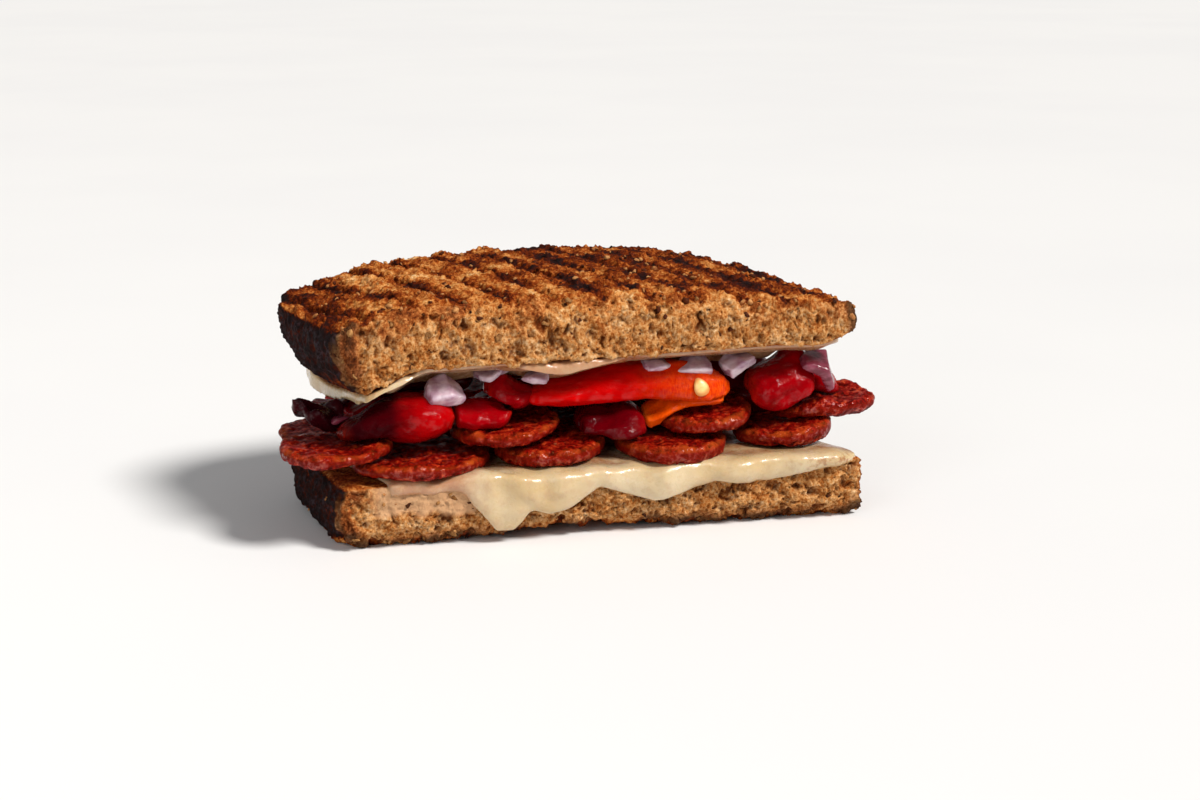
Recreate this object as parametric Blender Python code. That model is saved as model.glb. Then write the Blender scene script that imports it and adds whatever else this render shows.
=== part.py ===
"""Half of a pressed, grilled sandwich, cut across at a slant and lying with its cut face to the front.

Two ridged slices of grain bread hold melted cheese, rounds of sausage, roasted red pepper and diced red
onion. Metres, +Z up. X runs along the cut, Y runs back from it. The origin is the middle of the whole
thing's bounding box, at the level that it rests on.

Each filling is laid as it would be by hand: it is placed over the pile with its own tilt, comes straight
down until it meets what lies under it, and, where it is soft, slumps a little further into the gaps.
"""

import math

import bmesh
import bpy
from mathutils import Matrix, Vector, noise
from mathutils.bvhtree import BVHTree

MM = 0.001
GAP = 0.35 * MM
UP = Vector((0, 0, 1))
DOWN = -UP
ABOVE_ALL = 200 * MM

# Each slice's outline seen from above: the cut runs from the blunt end to the sharp end, then round the back.
BLUNT_END = Vector((-62, 0)) * MM
SHARP_END = Vector((59, 0)) * MM
BACK_RIGHT = Vector((31, 78)) * MM
BACK_LEFT = Vector((-77, 55)) * MM
UPPER_CORNERS = (BLUNT_END, SHARP_END, BACK_RIGHT, BACK_LEFT)
LOWER_CORNERS = (
    Vector((-61, 0)) * MM,
    Vector((63, 0)) * MM,
    Vector((32, 77)) * MM,
    Vector((-71, 55)) * MM,
)
CUT_CORNER_RADIUS = 2.5 * MM
BACK_RIGHT_RADIUS = 15 * MM
BACK_LEFT_RADIUS = 20 * MM

LOWER_THICKNESS = 14.8 * MM
UPPER_THICKNESS = 13.4 * MM
GRILLED_RIM = 2.6 * MM
INNER_RIM = 0.9 * MM

# The grill's bars run parallel to the crust at the sharp end and press grooves in both slices.
BAR_DIRECTION = (BACK_RIGHT - SHARP_END).normalized()
ACROSS_BARS = Vector((BAR_DIRECTION.y, -BAR_DIRECTION.x))
BAR_PITCH = 10.2 * MM
GROOVE_DEPTH = 2.2 * MM
GROOVE_HALF_WIDTH = 2.3 * MM
GROOVE_CUTS = (0.0, 0.2, 0.5, 0.8)
ALONG_STEP = 9.5 * MM
LEVEL_STEP = 4.2 * MM

CRUST_BULGE = 1.8 * MM
CRUMB_CARVE = 1.3 * MM
TOP_DOME = 2.8 * MM
TOP_DOME_RADIUS = 50 * MM
TOP_DOME_MIDDLE = Vector((4, 36)) * MM
SHARP_END_TAPER = 0.36
TUCK = 6.0 * MM
TUCK_START = -38 * MM
TUCK_LENGTH = 20 * MM
TIP_START = 44 * MM
TIP_LENGTH = 16 * MM
TIP_RISE = 2.6 * MM
TIP_THINNING = 0.35
LID_RISE = 2.0 * MM
BLUNT_SAG = 4.4 * MM
SAG_START = -44 * MM
SAG_LENGTH = 22 * MM
LID_CUTS = (-62 * MM, -56 * MM, -51 * MM, -46 * MM, 45 * MM, 50 * MM, 55 * MM)
ARCH_HEIGHT = 2.4 * MM
ARCH_MIDDLE = -8 * MM
ARCH_HALF_LENGTH = 24 * MM
ARCH_DEPTH = 26 * MM

CHEESE_INSET = 1.5 * MM
CHEESE_START = 10 * MM
LOWER_CHEESE_THICKNESS = 1.3 * MM
UPPER_CHEESE_THICKNESS = 1.2 * MM
DRIP_THICKNESS = 2.0 * MM
DRIP_ROWS = 3

SAUSAGE_CUP = 0.9 * MM
SAUSAGE_SKIN_RIM = 1.5 * MM

# How far each kind of filling can settle into the gaps under it.
SAUSAGE_SLUMP = 2.0 * MM
PEPPER_SLUMP = 6.0 * MM
ONION_SLUMP = 1.1 * MM
CHEESE_SLUMP = 1.4 * MM
CHEESE_SLUMP_BEHIND = 4.5 * MM
MELT_REACH = 6 * MM

# The press leaves the filling no higher than this, and spreads each squeeze over about this width.
FILLING_TOP = 39.2 * MM
PRESS_CELL = 7 * MM
PRESS_SPREAD = 7 * MM
PRESS_REBOUND = 0.14
CUT_BAND = 14 * MM


def finish(name, colour, roughness):
    """A plain food surface of one colour."""
    material = bpy.data.materials.new(name)
    material.use_nodes = True
    shader = material.node_tree.nodes["Principled BSDF"]
    shader.inputs["Base Color"].default_value = (*colour, 1)
    shader.inputs["Roughness"].default_value = roughness
    shader.inputs["Metallic"].default_value = 0.0
    return material


class Sandwich:
    """What has been laid so far, and the empty that carries it."""

    def __init__(self):
        self.carrier = bpy.data.objects.new("sandwich", None)
        bpy.context.scene.collection.objects.link(self.carrier)
        self.pieces = []

    def add(self, name, form, material):
        """Makes a node of a bmesh and frees the bmesh."""
        bmesh.ops.triangulate(form, faces=form.faces[:])
        bmesh.ops.recalc_face_normals(form, faces=form.faces[:])
        mesh = bpy.data.meshes.new(name)
        form.to_mesh(mesh)
        form.free()
        mesh.materials.append(material)
        mesh.shade_smooth()
        mesh.set_sharp_from_angle(angle=math.radians(50))
        piece = bpy.data.objects.new(name, mesh)
        bpy.context.scene.collection.objects.link(piece)
        piece.parent = self.carrier
        self.pieces.append(piece)
        return piece

    def tree(self, pieces=None):
        """A search tree over the pieces, which is what a new one can land on."""
        corners, faces = [], []
        for piece in self.pieces if pieces is None else pieces:
            first = len(corners)
            corners += [piece.matrix_basis @ v.co for v in piece.data.vertices]
            faces += [[first + i for i in p.vertices] for p in piece.data.polygons]
        return BVHTree.FromPolygons(corners, faces)

    def lay(self, piece, slump=0.0, melts=False):
        """Brings a piece down on the pile, and lets a soft one slump into the gaps under it.

        One that melts only lets its underside down, and its top stays where it is.
        """
        pile = self.tree([p for p in self.pieces if p is not piece])
        piece.location.z = ABOVE_ALL
        piece.location.z -= self.clear_height(piece, pile) - GAP
        if slump:
            self.sink_columns(piece, pile, slump, melts)
        while self.tree([piece]).overlap(pile):
            piece.location.z += 0.5 * GAP
        piece.location.z += 0.5 * GAP

    def clear_height(self, piece, pile):
        """How far a piece can come down before it touches the pile."""
        falls = []
        own = self.tree([piece])
        for point in sample_points(piece):
            hit = pile.ray_cast(point, DOWN)
            if hit[0]:
                falls.append(hit[3])
        low, high = corners_of([piece])
        for other in self.pieces:
            if other is piece:
                continue
            for point in sample_points(other):
                if low.x < point.x < high.x and low.y < point.y < high.y:
                    hit = own.ray_cast(point, UP)
                    if hit[0]:
                        falls.append(hit[3])
        return min(falls)

    def sink_columns(self, piece, pile, limit, underside_only):
        """Moves each upright column of a soft piece down towards what lies under it."""
        own = self.tree([piece])
        turn = piece.matrix_basis.to_3x3()
        form = bmesh.new()
        form.from_mesh(piece.data)
        shifts = {}
        for vertex in form.verts:
            place = piece.matrix_basis @ vertex.co
            under = own.ray_cast(Vector((place.x, place.y, -ABOVE_ALL)), UP)
            below = highest_near(pile, place, MELT_REACH if underside_only else 0.0)
            most = limit(place.y) if callable(limit) else limit
            room = most if under[0] is None or below is None else under[0].z - below - GAP
            shifts[vertex] = min(max(room, 0.0), most)
        for _ in range(3):
            even = {}
            for vertex, shift in shifts.items():
                near = [shifts[edge.other_vert(vertex)] for edge in vertex.link_edges]
                even[vertex] = min(shift, (shift + sum(near)) / (1 + len(near)) + 0.3 * MM)
            shifts = even
        for vertex, shift in shifts.items():
            if not underside_only or vertex.normal.z < 0:
                vertex.co += turn.inverted() @ (DOWN * shift)
        form.to_mesh(piece.data)
        form.free()

    def press(self, pieces, floor):
        """Squeezes the pieces down to the filling's height, and lets low places rise a little towards it."""
        tops = {}
        for piece in pieces:
            for point in sample_points(piece):
                cell = (round(point.x / PRESS_CELL), round(point.y / PRESS_CELL))
                tops[cell] = max(tops.get(cell, floor), point.z)
        reach = range(-2, 3)
        peaks = {
            (i, j): max(tops.get((i + a, j + b), floor) for a in reach for b in reach)
            for i, j in tops
        }
        for piece in pieces:
            place = piece.matrix_basis.copy()
            for vertex in piece.data.vertices:
                point = place @ vertex.co
                weights = {}
                for cell in peaks:
                    apart = (Vector(cell) * PRESS_CELL - point.xy).length_squared
                    weights[cell] = math.exp(-apart / (2 * PRESS_SPREAD**2))
                peak = sum(peaks[cell] * weight for cell, weight in weights.items()) / sum(weights.values())
                ceiling = FILLING_TOP + lid_lift(point.x - blunt_tuck(point.x))
                rebound = 1 + PRESS_REBOUND * smooth_step((point.y - CUT_BAND) / CUT_BAND)
                squeeze = min(rebound, (ceiling - floor) / max(peak - floor, 1 * MM))
                point.z = floor + (point.z - floor) * squeeze
                vertex.co = place.inverted() @ point

    def centre(self):
        """Puts the whole thing's bounding box over the origin, standing on it."""
        low, high = corners_of(self.pieces)
        self.carrier.location = (-(low.x + high.x) / 2, -(low.y + high.y) / 2, -low.z)


def highest_near(pile, place, reach):
    """The pile's highest level under a point and within reach of it, or None where nothing is there."""
    spots = [place]
    for ring in (0.5 * reach, reach) if reach else ():
        for turn in range(8):
            spots.append(place + Matrix.Rotation(math.radians(45 * turn), 3, "Z") @ Vector((ring, 0, 0)))
    hits = [pile.ray_cast(Vector((spot.x, spot.y, 2 * ABOVE_ALL)), DOWN)[0] for spot in spots]
    return max((hit.z for hit in hits if hit), default=None)


def sample_points(piece):
    """Corners, edge middles and face centres of a piece, in the sandwich's frame."""
    place = piece.matrix_basis
    corners = [place @ v.co for v in piece.data.vertices]
    middles = [(corners[e.vertices[0]] + corners[e.vertices[1]]) / 2 for e in piece.data.edges]
    return corners + middles + [place @ p.center for p in piece.data.polygons]


def corners_of(pieces):
    """Lowest and highest corner of the pieces together, in the sandwich's frame."""
    points = [piece.matrix_basis @ v.co for piece in pieces for v in piece.data.vertices]
    low = Vector(min(p[axis] for p in points) for axis in range(3))
    high = Vector(max(p[axis] for p in points) for axis in range(3))
    return low, high


def smooth_step(value):
    """0 below 0, 1 above 1, and an S between."""
    value = min(max(value, 0.0), 1.0)
    return value * value * (3 - 2 * value)


def ripple(point, size, seed):
    """Even noise from -1 to 1 that changes over about the given size."""
    return noise.noise(Vector(point) / size + Vector((seed, 2.3 * seed, 5.1 * seed)))


def rounded_outline(corners, radii, segments=5):
    """The points round a polygon whose corners are arcs of the given radii."""
    points = []
    for i, corner in enumerate(corners):
        to_before = (corners[i - 1] - corner).normalized()
        to_after = (corners[(i + 1) % len(corners)] - corner).normalized()
        half = to_before.angle(to_after) / 2
        tangent = radii[i] / math.tan(half)
        centre = corner + (to_before + to_after).normalized() * radii[i] / math.sin(half)
        start, end = corner + to_before * tangent - centre, corner + to_after * tangent - centre
        sweep = start.angle_signed(end)
        for step in range(segments + 1):
            angle = -sweep * step / segments
            points.append(centre + Matrix.Rotation(angle, 2) @ start)
    return points


def bread_outline(corners, inset=0.0):
    """A slice's outline, drawn in by the inset all round."""
    middle = sum(corners, Vector((0, 0))) / len(corners)
    shrink = 1 - inset / (SHARP_END - middle).length * 1.25
    corners = [middle + (corner - middle) * shrink for corner in corners]
    radii = [CUT_CORNER_RADIUS, CUT_CORNER_RADIUS, BACK_RIGHT_RADIUS, BACK_LEFT_RADIUS]
    return rounded_outline(corners, radii)


def cut_faces(form, faces, point, normal):
    """Cuts the given faces, and no others, by a plane."""
    geometry = set(faces)
    for face in faces:
        geometry.update(face.verts)
        geometry.update(face.edges)
    bmesh.ops.bisect_plane(form, geom=list(geometry), dist=0.25 * MM, plane_co=point, plane_no=normal)


def slab(outline, base, thickness):
    """A flat closed plate with the given outline."""
    form = bmesh.new()
    form.faces.new([form.verts.new((x, y, base)) for x, y in outline])
    raised = bmesh.ops.extrude_face_region(form, geom=form.faces[:])
    moved = [item for item in raised["geom"] if isinstance(item, bmesh.types.BMVert)]
    bmesh.ops.translate(form, verts=moved, vec=(0, 0, thickness))
    bmesh.ops.recalc_face_normals(form, faces=form.faces[:])
    return form


def rim_edges(form, level):
    """The edges round a plate's face at the given level."""
    return [e for e in form.edges if all(abs(v.co.z - level) < 0.01 * MM for v in e.verts)]


def steps(low, high, step):
    """Even steps strictly between two values."""
    count = max(1, round((high - low) / step))
    return [low + (high - low) * i / count for i in range(1, count)]


def groove_positions(low, high):
    """Where the slice is cut across the bars, so that each groove and band has its own faces."""
    first = math.floor(low / BAR_PITCH)
    last = math.ceil(high / BAR_PITCH)
    places = [(turn + share) * BAR_PITCH for turn in range(first, last) for share in GROOVE_CUTS]
    return [place for place in places if low < place < high]


def groove(place):
    """1 at the middle of a groove that a grill bar pressed, 0 on the bands between."""
    distance = abs(place / BAR_PITCH - round(place / BAR_PITCH)) * BAR_PITCH
    return smooth_step(1 - distance / GROOVE_HALF_WIDTH)


def lid_lift(x):
    """How far the top slice's underside bends up towards its sharp end, and down at its blunt end."""
    rise = LID_RISE * (x - BLUNT_END.x) / (SHARP_END.x - BLUNT_END.x)
    tip = TIP_RISE * smooth_step((x - TIP_START) / TIP_LENGTH)
    return rise + tip - BLUNT_SAG * smooth_step((SAG_START - x) / SAG_LENGTH)


def blunt_tuck(x):
    """How far the top slice's underside draws in at the blunt end, so that its crust slants under."""
    return TUCK * smooth_step((TUCK_START - x) / TUCK_LENGTH)


def bread_slice(thickness, grilled, seed):
    """A slice with pressed grooves on its grilled side, 1 for up or -1 for down, and a carved cut face."""
    form = slab(bread_outline(UPPER_CORNERS if grilled > 0 else LOWER_CORNERS), 0, thickness)
    outer, inner = (thickness, 0) if grilled > 0 else (0, thickness)
    bmesh.ops.bevel(
        form, geom=rim_edges(form, outer), offset=GRILLED_RIM, segments=2, profile=0.5, affect="EDGES"
    )
    bmesh.ops.bevel(
        form, geom=rim_edges(form, inner), offset=INNER_RIM, segments=1, profile=0.5, affect="EDGES"
    )
    across = Vector((*ACROSS_BARS, 0))
    along = Vector((*BAR_DIRECTION, 0))

    def not_inner():
        return [f for f in form.faces if f.normal.z * grilled > -0.9]

    reach = [v.co.dot(across) for v in form.verts]
    for place in groove_positions(min(reach), max(reach)):
        cut_faces(form, not_inner(), across * place, across)
    reach = [v.co.dot(along) for v in form.verts]
    for place in steps(min(reach), max(reach), ALONG_STEP):
        cut_faces(form, not_inner(), along * place, along)
    for level in steps(0, thickness, LEVEL_STEP):
        cut_faces(form, [f for f in form.faces if abs(f.normal.z) < 0.5], UP * level, UP)
    if grilled > 0:
        for place in LID_CUTS:
            inner_faces = [f for f in form.faces if f.normal.z < -0.9]
            cut_faces(form, inner_faces, Vector((place, 0, 0)), Vector((1, 0, 0)))

    form.normal_update()
    for vertex in form.verts:
        place = vertex.co.copy()
        height = place.z / thickness
        toward_outer = height if grilled > 0 else 1 - height
        on_outer = smooth_step((toward_outer - 0.55) / 0.35)
        bulge = math.sin(math.pi * min(max(height, 0.0), 1.0))
        side = Vector((vertex.normal.x, vertex.normal.y, 0))
        if place.y < 0.3 * MM:
            vertex.co.y += CRUMB_CARVE * bulge * abs(ripple(place, 4 * MM, seed)) * 1.6
        elif side.length > 0.5:
            swell = CRUST_BULGE * bulge * smooth_step(place.y / (6 * MM))
            vertex.co += side.normalized() * (swell + 0.5 * MM * bulge * ripple(place, 7 * MM, seed))
        pressed = GROOVE_DEPTH * groove(place.dot(across)) * (0.85 + 0.3 * ripple(place, 30 * MM, seed))
        crags = 0.35 * MM * (1 + ripple(place, 5 * MM, seed + 1))
        vertex.co.z -= grilled * on_outer * (pressed + crags * (grilled > 0))
        if grilled > 0:
            spread = (Vector(place.xy) - TOP_DOME_MIDDLE).length / TOP_DOME_RADIUS
            along_cut = smooth_step((place.x - BLUNT_END.x) / (SHARP_END.x - BLUNT_END.x))
            vertex.co.z *= 1 - SHARP_END_TAPER * along_cut
            vertex.co.z *= 1 - TIP_THINNING * smooth_step((place.x - TIP_START) / TIP_LENGTH)
            vertex.co.z += on_outer * TOP_DOME * (1 - min(spread * spread, 1.0)) + lid_lift(place.x)
            vertex.co.x += blunt_tuck(place.x) * (1 - height)
        else:
            off_middle = (place.x - ARCH_MIDDLE) / ARCH_HALF_LENGTH
            fade = smooth_step(1 - place.y / ARCH_DEPTH) * on_outer
            vertex.co.z += ARCH_HEIGHT * fade * math.exp(-off_middle * off_middle)
    return form


def drip_depth(x):
    """How far the lower cheese has run down the cut face at x."""
    runs = (
        (-25 * MM, 6.5 * MM, 12.2 * MM),
        (-14 * MM, 9 * MM, 7.5 * MM),
        (12 * MM, 13 * MM, 5.5 * MM),
        (36 * MM, 12 * MM, 3.6 * MM),
        (-48 * MM, 10 * MM, 1.2 * MM),
    )
    depth = max(fall * math.exp(-(((x - middle) / half_width) ** 2)) for middle, half_width, fall in runs)
    return 1.4 * MM + depth


def lower_cheese():
    """Melted cheese over the bottom slice, running down the cut in a few broad drips."""
    front = -GAP - DRIP_THICKNESS
    corners = []
    for corner in LOWER_CORNERS:
        inset = CHEESE_INSET if corner.x < 0 else -CHEESE_INSET
        if corner.y == 0 and corner.x < 0:
            inset = CHEESE_START
        corners.append(Vector((corner.x + inset, front if corner.y == 0 else corner.y - 2 * CHEESE_INSET)))
    radii = [1.2 * MM, 1.2 * MM, BACK_RIGHT_RADIUS, BACK_LEFT_RADIUS]
    form = slab(rounded_outline(corners, radii), 0, LOWER_CHEESE_THICKNESS)
    for place in steps(corners[0].x, corners[1].x, 4.0 * MM):
        cut_faces(form, form.faces[:], Vector((place, 0, 0)), Vector((1, 0, 0)))
    for place in (-GAP, 6 * MM, 22 * MM, 42 * MM, 60 * MM):
        cut_faces(form, form.faces[:], Vector((0, place, 0)), Vector((0, 1, 0)))
    lip = [f for f in form.faces if f.normal.z < -0.9 and max(v.co.y for v in f.verts) < 0]
    for row in range(DRIP_ROWS):
        share = (row + 1) / DRIP_ROWS
        grown = bmesh.ops.extrude_face_region(form, geom=lip)["geom"]
        bmesh.ops.delete(form, geom=lip, context="FACES_ONLY")
        lip = [item for item in grown if isinstance(item, bmesh.types.BMFace)]
        for vertex in {v for f in lip for v in f.verts}:
            fall = drip_depth(vertex.co.x)
            swell = 0.75 * MM * math.sin(math.pi * min(share * 1.1, 1.0)) * smooth_step(fall / (6 * MM))
            reach = (vertex.co.y + GAP) / (-DRIP_THICKNESS) if row == 0 else (vertex.co.y < -2 * GAP)
            vertex.co.z = -fall * share
            vertex.co.y = -GAP - reach * (DRIP_THICKNESS * (1 - 0.45 * share) + swell)
    for vertex in form.verts:
        if vertex.co.z > 0.5 * LOWER_CHEESE_THICKNESS:
            vertex.co.z += 0.45 * MM * ripple(vertex.co, 13 * MM, 3) - 0.5 * MM * (vertex.co.y < -GAP)
    return form


def upper_cheese():
    """Melted cheese that clings under the top slice and shows in front where it bulges."""
    form = slab(bread_outline(UPPER_CORNERS, 0.5 * MM), 0, UPPER_CHEESE_THICKNESS)
    reach = [v.co.x for v in form.verts]
    places = [*LID_CUTS, *steps(max(min(reach), SAG_START), TIP_START, 6.0 * MM)]
    for place in places:
        cut_faces(form, form.faces[:], Vector((place, 0, 0)), Vector((1, 0, 0)))
    for place in (5 * MM, 14 * MM, 28 * MM, 44 * MM, 60 * MM):
        cut_faces(form, form.faces[:], Vector((0, place, 0)), Vector((0, 1, 0)))
    for vertex in form.verts:
        if vertex.co.y < 3 * MM:
            bulge = math.exp(-(((vertex.co.x + 9 * MM) / (9 * MM)) ** 2))
            lip = smooth_step((-44 * MM - vertex.co.x) / (8 * MM))
            draw = 1.5 * MM * bulge + 1.4 * MM * lip
            vertex.co.y += 0.6 * MM - draw + 0.4 * MM * ripple(vertex.co, 9 * MM, 8)
        vertex.co.z += lid_lift(vertex.co.x)
        vertex.co.x += blunt_tuck(vertex.co.x)
    return form


def sausage_round(diameter, thickness, stretch, sides, seed):
    """A fried slice: its rim is rounded and stands a little above its middle."""
    form = bmesh.new()
    bmesh.ops.create_cone(
        form, cap_ends=True, segments=sides, radius1=diameter / 2, radius2=diameter / 2, depth=thickness
    )
    caps = [f for f in form.faces if abs(f.normal.z) > 0.9]
    bmesh.ops.inset_region(form, faces=caps, thickness=diameter * 0.2, use_even_offset=True)
    rims = [
        e
        for e in form.edges
        if all(v.co.xy.length > 0.45 * diameter for v in e.verts) and e.verts[0].co.z * e.verts[1].co.z > 0
    ]
    bmesh.ops.bevel(
        form, geom=rims, offset=SAUSAGE_SKIN_RIM, segments=1, profile=0.5, affect="EDGES"
    )
    for vertex in form.verts:
        share = vertex.co.xy.length / (diameter / 2)
        vertex.co.z += SAUSAGE_CUP * (share * share - 0.6)
        vertex.co.xy *= 1 + 0.05 * ripple(vertex.co * 2, diameter, seed)
        vertex.co.z += 0.35 * MM * ripple(vertex.co, 8 * MM, seed)
        vertex.co.x *= stretch
    return form


def pepper_strip(length, width, thickness, curl, seed, cells=(7, 4)):
    """A roasted strip: a thin plate curled about its length, with uneven ends and edges."""
    form = bmesh.new()
    bmesh.ops.create_grid(form, x_segments=cells[0], y_segments=cells[1], size=0.5)
    radius = width / curl
    for vertex in form.verts:
        along, side = vertex.co.x, vertex.co.y
        narrow = 1 - 0.35 * (2 * abs(along)) ** 3 + 0.12 * ripple((along * 3, side, 0), 1, seed)
        turn = side * curl * narrow
        lift = 1.2 * MM * ripple((along * 3, side * 2, 0), 1, seed + 2)
        vertex.co = Vector(
            (along * length, (radius + lift) * math.sin(turn), (radius + lift) * math.cos(turn) - radius)
        )
        vertex.co.x += 1.5 * MM * ripple((side * 4, along, 0), 1, seed + 4)
        vertex.co.z -= 0.03 * length * (2 * along) ** 2
    bmesh.ops.recalc_face_normals(form, faces=form.faces[:])
    if sum(f.normal.z for f in form.faces) < 0:
        bmesh.ops.reverse_faces(form, faces=form.faces[:])
    bmesh.ops.solidify(form, geom=form.faces[:], thickness=thickness)
    return form


def pepper_lobe(length, width, height, seed, blunt=1.0, rings=(14, 8)):
    """A closed, domed end of a roasted pepper, lying with its length along X.

    Its ends are round where blunt is 1, and squarer where it is more.
    """
    form = bmesh.new()
    bmesh.ops.create_uvsphere(form, u_segments=rings[0], v_segments=rings[1], radius=0.5)
    bmesh.ops.rotate(form, verts=form.verts[:], matrix=Matrix.Rotation(math.radians(90), 3, "Y"))
    for vertex in form.verts:
        along, side, high = vertex.co
        fill = (1 - min(abs(2 * along), 0.995) ** (2 * blunt)) ** (1 / (2 * blunt))
        full = fill / math.sqrt(1 - min(abs(2 * along), 0.995) ** 2)
        side, high = side * full, high * full
        swell = 1 + 0.35 * ripple((along * 2, side * 2, high * 2), 1, seed)
        square = 1 + 0.25 * (1 - abs(2 * along))
        vertex.co = Vector((along * length, side * width * swell, high * height * swell * square))
        vertex.co.y += 0.08 * width * math.sin(5 * along + seed)
    return form


def onion_dice(size, curl, seed):
    """A piece of one onion layer: a thick curved plate with slanting ends."""
    form = bmesh.new()
    bmesh.ops.create_cube(form, size=1.0)
    bmesh.ops.subdivide_edges(form, edges=form.edges[:], cuts=1, use_grid_fill=True)
    for vertex in form.verts:
        along, side, high = vertex.co
        slant = 1 - 0.3 * (side + 0.5) * (1 + ripple((0, 0, 0), 1, seed))
        bend = curl * (2 * along) ** 2
        round_off = 1 - 0.16 * (abs(along) > 0.4) * (abs(side) > 0.4)
        vertex.co = Vector(
            (
                along * size[0] * slant * round_off,
                side * size[1] * round_off,
                (high * (1 - 0.25 * abs(2 * along)) - bend) * size[2],
            )
        )
    return form


def pepper_seed_form():
    """A flat seed, pointed at one end."""
    form = bmesh.new()
    bmesh.ops.create_icosphere(form, subdivisions=1, radius=0.5)
    for vertex in form.verts:
        vertex.co.x *= 4.2 * MM * (1 + 0.3 * vertex.co.x)
        vertex.co.y *= 3.0 * MM
        vertex.co.z *= 1.3 * MM
    return form


def turned(piece, place, lean, roll, spin):
    """Sets a piece over its place. Lean lowers the front edge, roll raises the right end, both in degrees."""
    piece.location = (place[0] * MM, place[1] * MM, ABOVE_ALL)
    tilt = Matrix.Rotation(math.radians(lean), 3, "X") @ Matrix.Rotation(math.radians(-roll), 3, "Y")
    piece.rotation_euler = (tilt @ Matrix.Rotation(math.radians(spin), 3, "Z")).to_euler()
    bpy.context.view_layer.update()
    return piece


# Each row: name, (x, y), diameter, thickness, stretch, lean, roll, in mm and degrees, in the order laid.
SAUSAGES_BELOW = (
    ("sausage_front_2", (-42.5, 11.5), 29, 6.6, 1.12, 3, -1),
    ("sausage_front_3", (-12, 12), 26, 6.4, 1.0, 2, 1),
    ("sausage_front_4", (17, 10), 26, 6.4, 1.03, 4, -1),
    ("sausage_front_5", (45.8, 15), 25, 5.4, 0.98, 0, 1),
    ("sausage_middle_1", (-60, 39), 26, 6.2, 1.0, 0, 1),
    ("sausage_middle_2", (-32, 41), 28, 6.4, 1.0, 0, -1),
    ("sausage_middle_3", (-3, 40), 27, 6.0, 1.05, 1, 1),
    ("sausage_middle_4", (28, 42), 27, 6.2, 1.0, 0, -1),
    ("sausage_back_1", (-18, 63), 25, 6.0, 1.0, -1, 0),
    ("sausage_back_2", (10, 67), 25, 6.0, 1.08, -1, 0),
)
SAUSAGES_ABOVE = (
    ("sausage_front_1", (-62, 10), 26, 6.4, 1.0, 3, 9),
    ("sausage_upper_1", (-22, 13), 26, 5.6, 1.0, 5, 7),
    ("sausage_upper_2", (25.5, 14), 25, 5.6, 1.0, 8, 4),
    ("sausage_right", (57.5, 15), 17, 4.6, 1.5, 2, 4),
    ("sausage_upper_3", (-49, 49), 27, 6.0, 1.0, -2, -3),
    ("sausage_upper_4", (-15, 60), 27, 5.8, 1.0, 1, 2),
    ("sausage_upper_5", (14, 62), 26, 5.8, 1.0, 1, -2),
    ("sausage_upper_6", (33, 43), 24, 5.6, 1.0, 0, 3),
)


def lay_sausages(sandwich, rows, slump, material):
    """Lays the rounds in turn, each on what is there already."""
    seen = ("front", "upper_1", "upper_2", "right")
    for seed, (name, place, diameter, thickness, stretch, lean, roll) in enumerate(rows):
        sides = 18 if any(word in name for word in seen) else 14
        form = sausage_round(diameter * MM, thickness * MM, stretch, sides, seed + 11)
        piece = sandwich.add(name, form, material)
        sandwich.lay(turned(piece, place, lean, roll, 0), slump)


# Each row: name, kind, (x, y), (length, width, thickness or height), curl or bluntness, lean, roll, spin.
PEPPERS = (
    ("pepper_block", "lobe", (2.5, 12), (15.5, 17, 8.5), 2.2, 3, 0, 0),
    ("pepper_flap", "strip", (20, 9), (19, 12, 3.0), 1.2, 14, 6, 0),
    ("pepper_left", "lobe", (-48, 11), (27, 20, 13), 1.9, 4, -4, 0),
    ("pepper_piece", "strip", (-29, 9), (13, 15, 3.4), 1.6, 12, -4, 10),
    ("pepper_right", "lobe", (44, 11), (16, 18, 12.5), 1.4, 0, 2, 0),
    ("pepper_strip", "lobe", (8, 10), (46, 14, 8.5), 1.5, 6, 2, 0),
    ("pepper_skin", "strip", (-64, 18), (10, 13, 3.0), 1.8, 10, -10, 40),
    ("pepper_scrap", "lobe", (56, 17), (9.5, 8, 4.6), 1.3, 12, 6, 15),
    ("pepper_lump", "lobe", (-21, 12), (12, 12, 8), 1.6, 4, 0, 0),
    ("pepper_middle_1", "strip", (-51, 35), (34, 20, 4.2), 1.5, 0, 0, 100),
    ("pepper_middle_2", "strip", (-9, 38), (38, 24, 4.4), 1.5, 0, 0, -8),
    ("pepper_middle_3", "lobe", (36, 39), (24, 20, 8.0), 1.2, 0, 0, 110),
    ("pepper_back_1", "lobe", (-55, 54), (28, 20, 7.5), 1.2, 0, 0, 20),
    ("pepper_back_2", "strip", (-22, 64), (38, 18, 4.4), 1.4, 0, 0, 12),
    ("pepper_back_3", "lobe", (16, 67), (32, 18, 7.0), 1.2, 0, 0, 8),
    ("pepper_tuck_1", "lobe", (-40, 26), (26, 11, 10), 1.3, 0, 0, -14),
    ("pepper_tuck_2", "lobe", (-6, 25), (30, 10, 10), 1.3, 0, 0, 6),
    ("pepper_tuck_3", "lobe", (34, 25), (26, 11, 11), 1.3, 0, 0, -4),
    ("pepper_tuck_4", "lobe", (-36, 52), (24, 11, 9), 1.3, 0, 0, 70),
    ("pepper_tuck_5", "lobe", (2, 52), (28, 11, 9), 1.3, 0, 0, 10),
)


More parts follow.
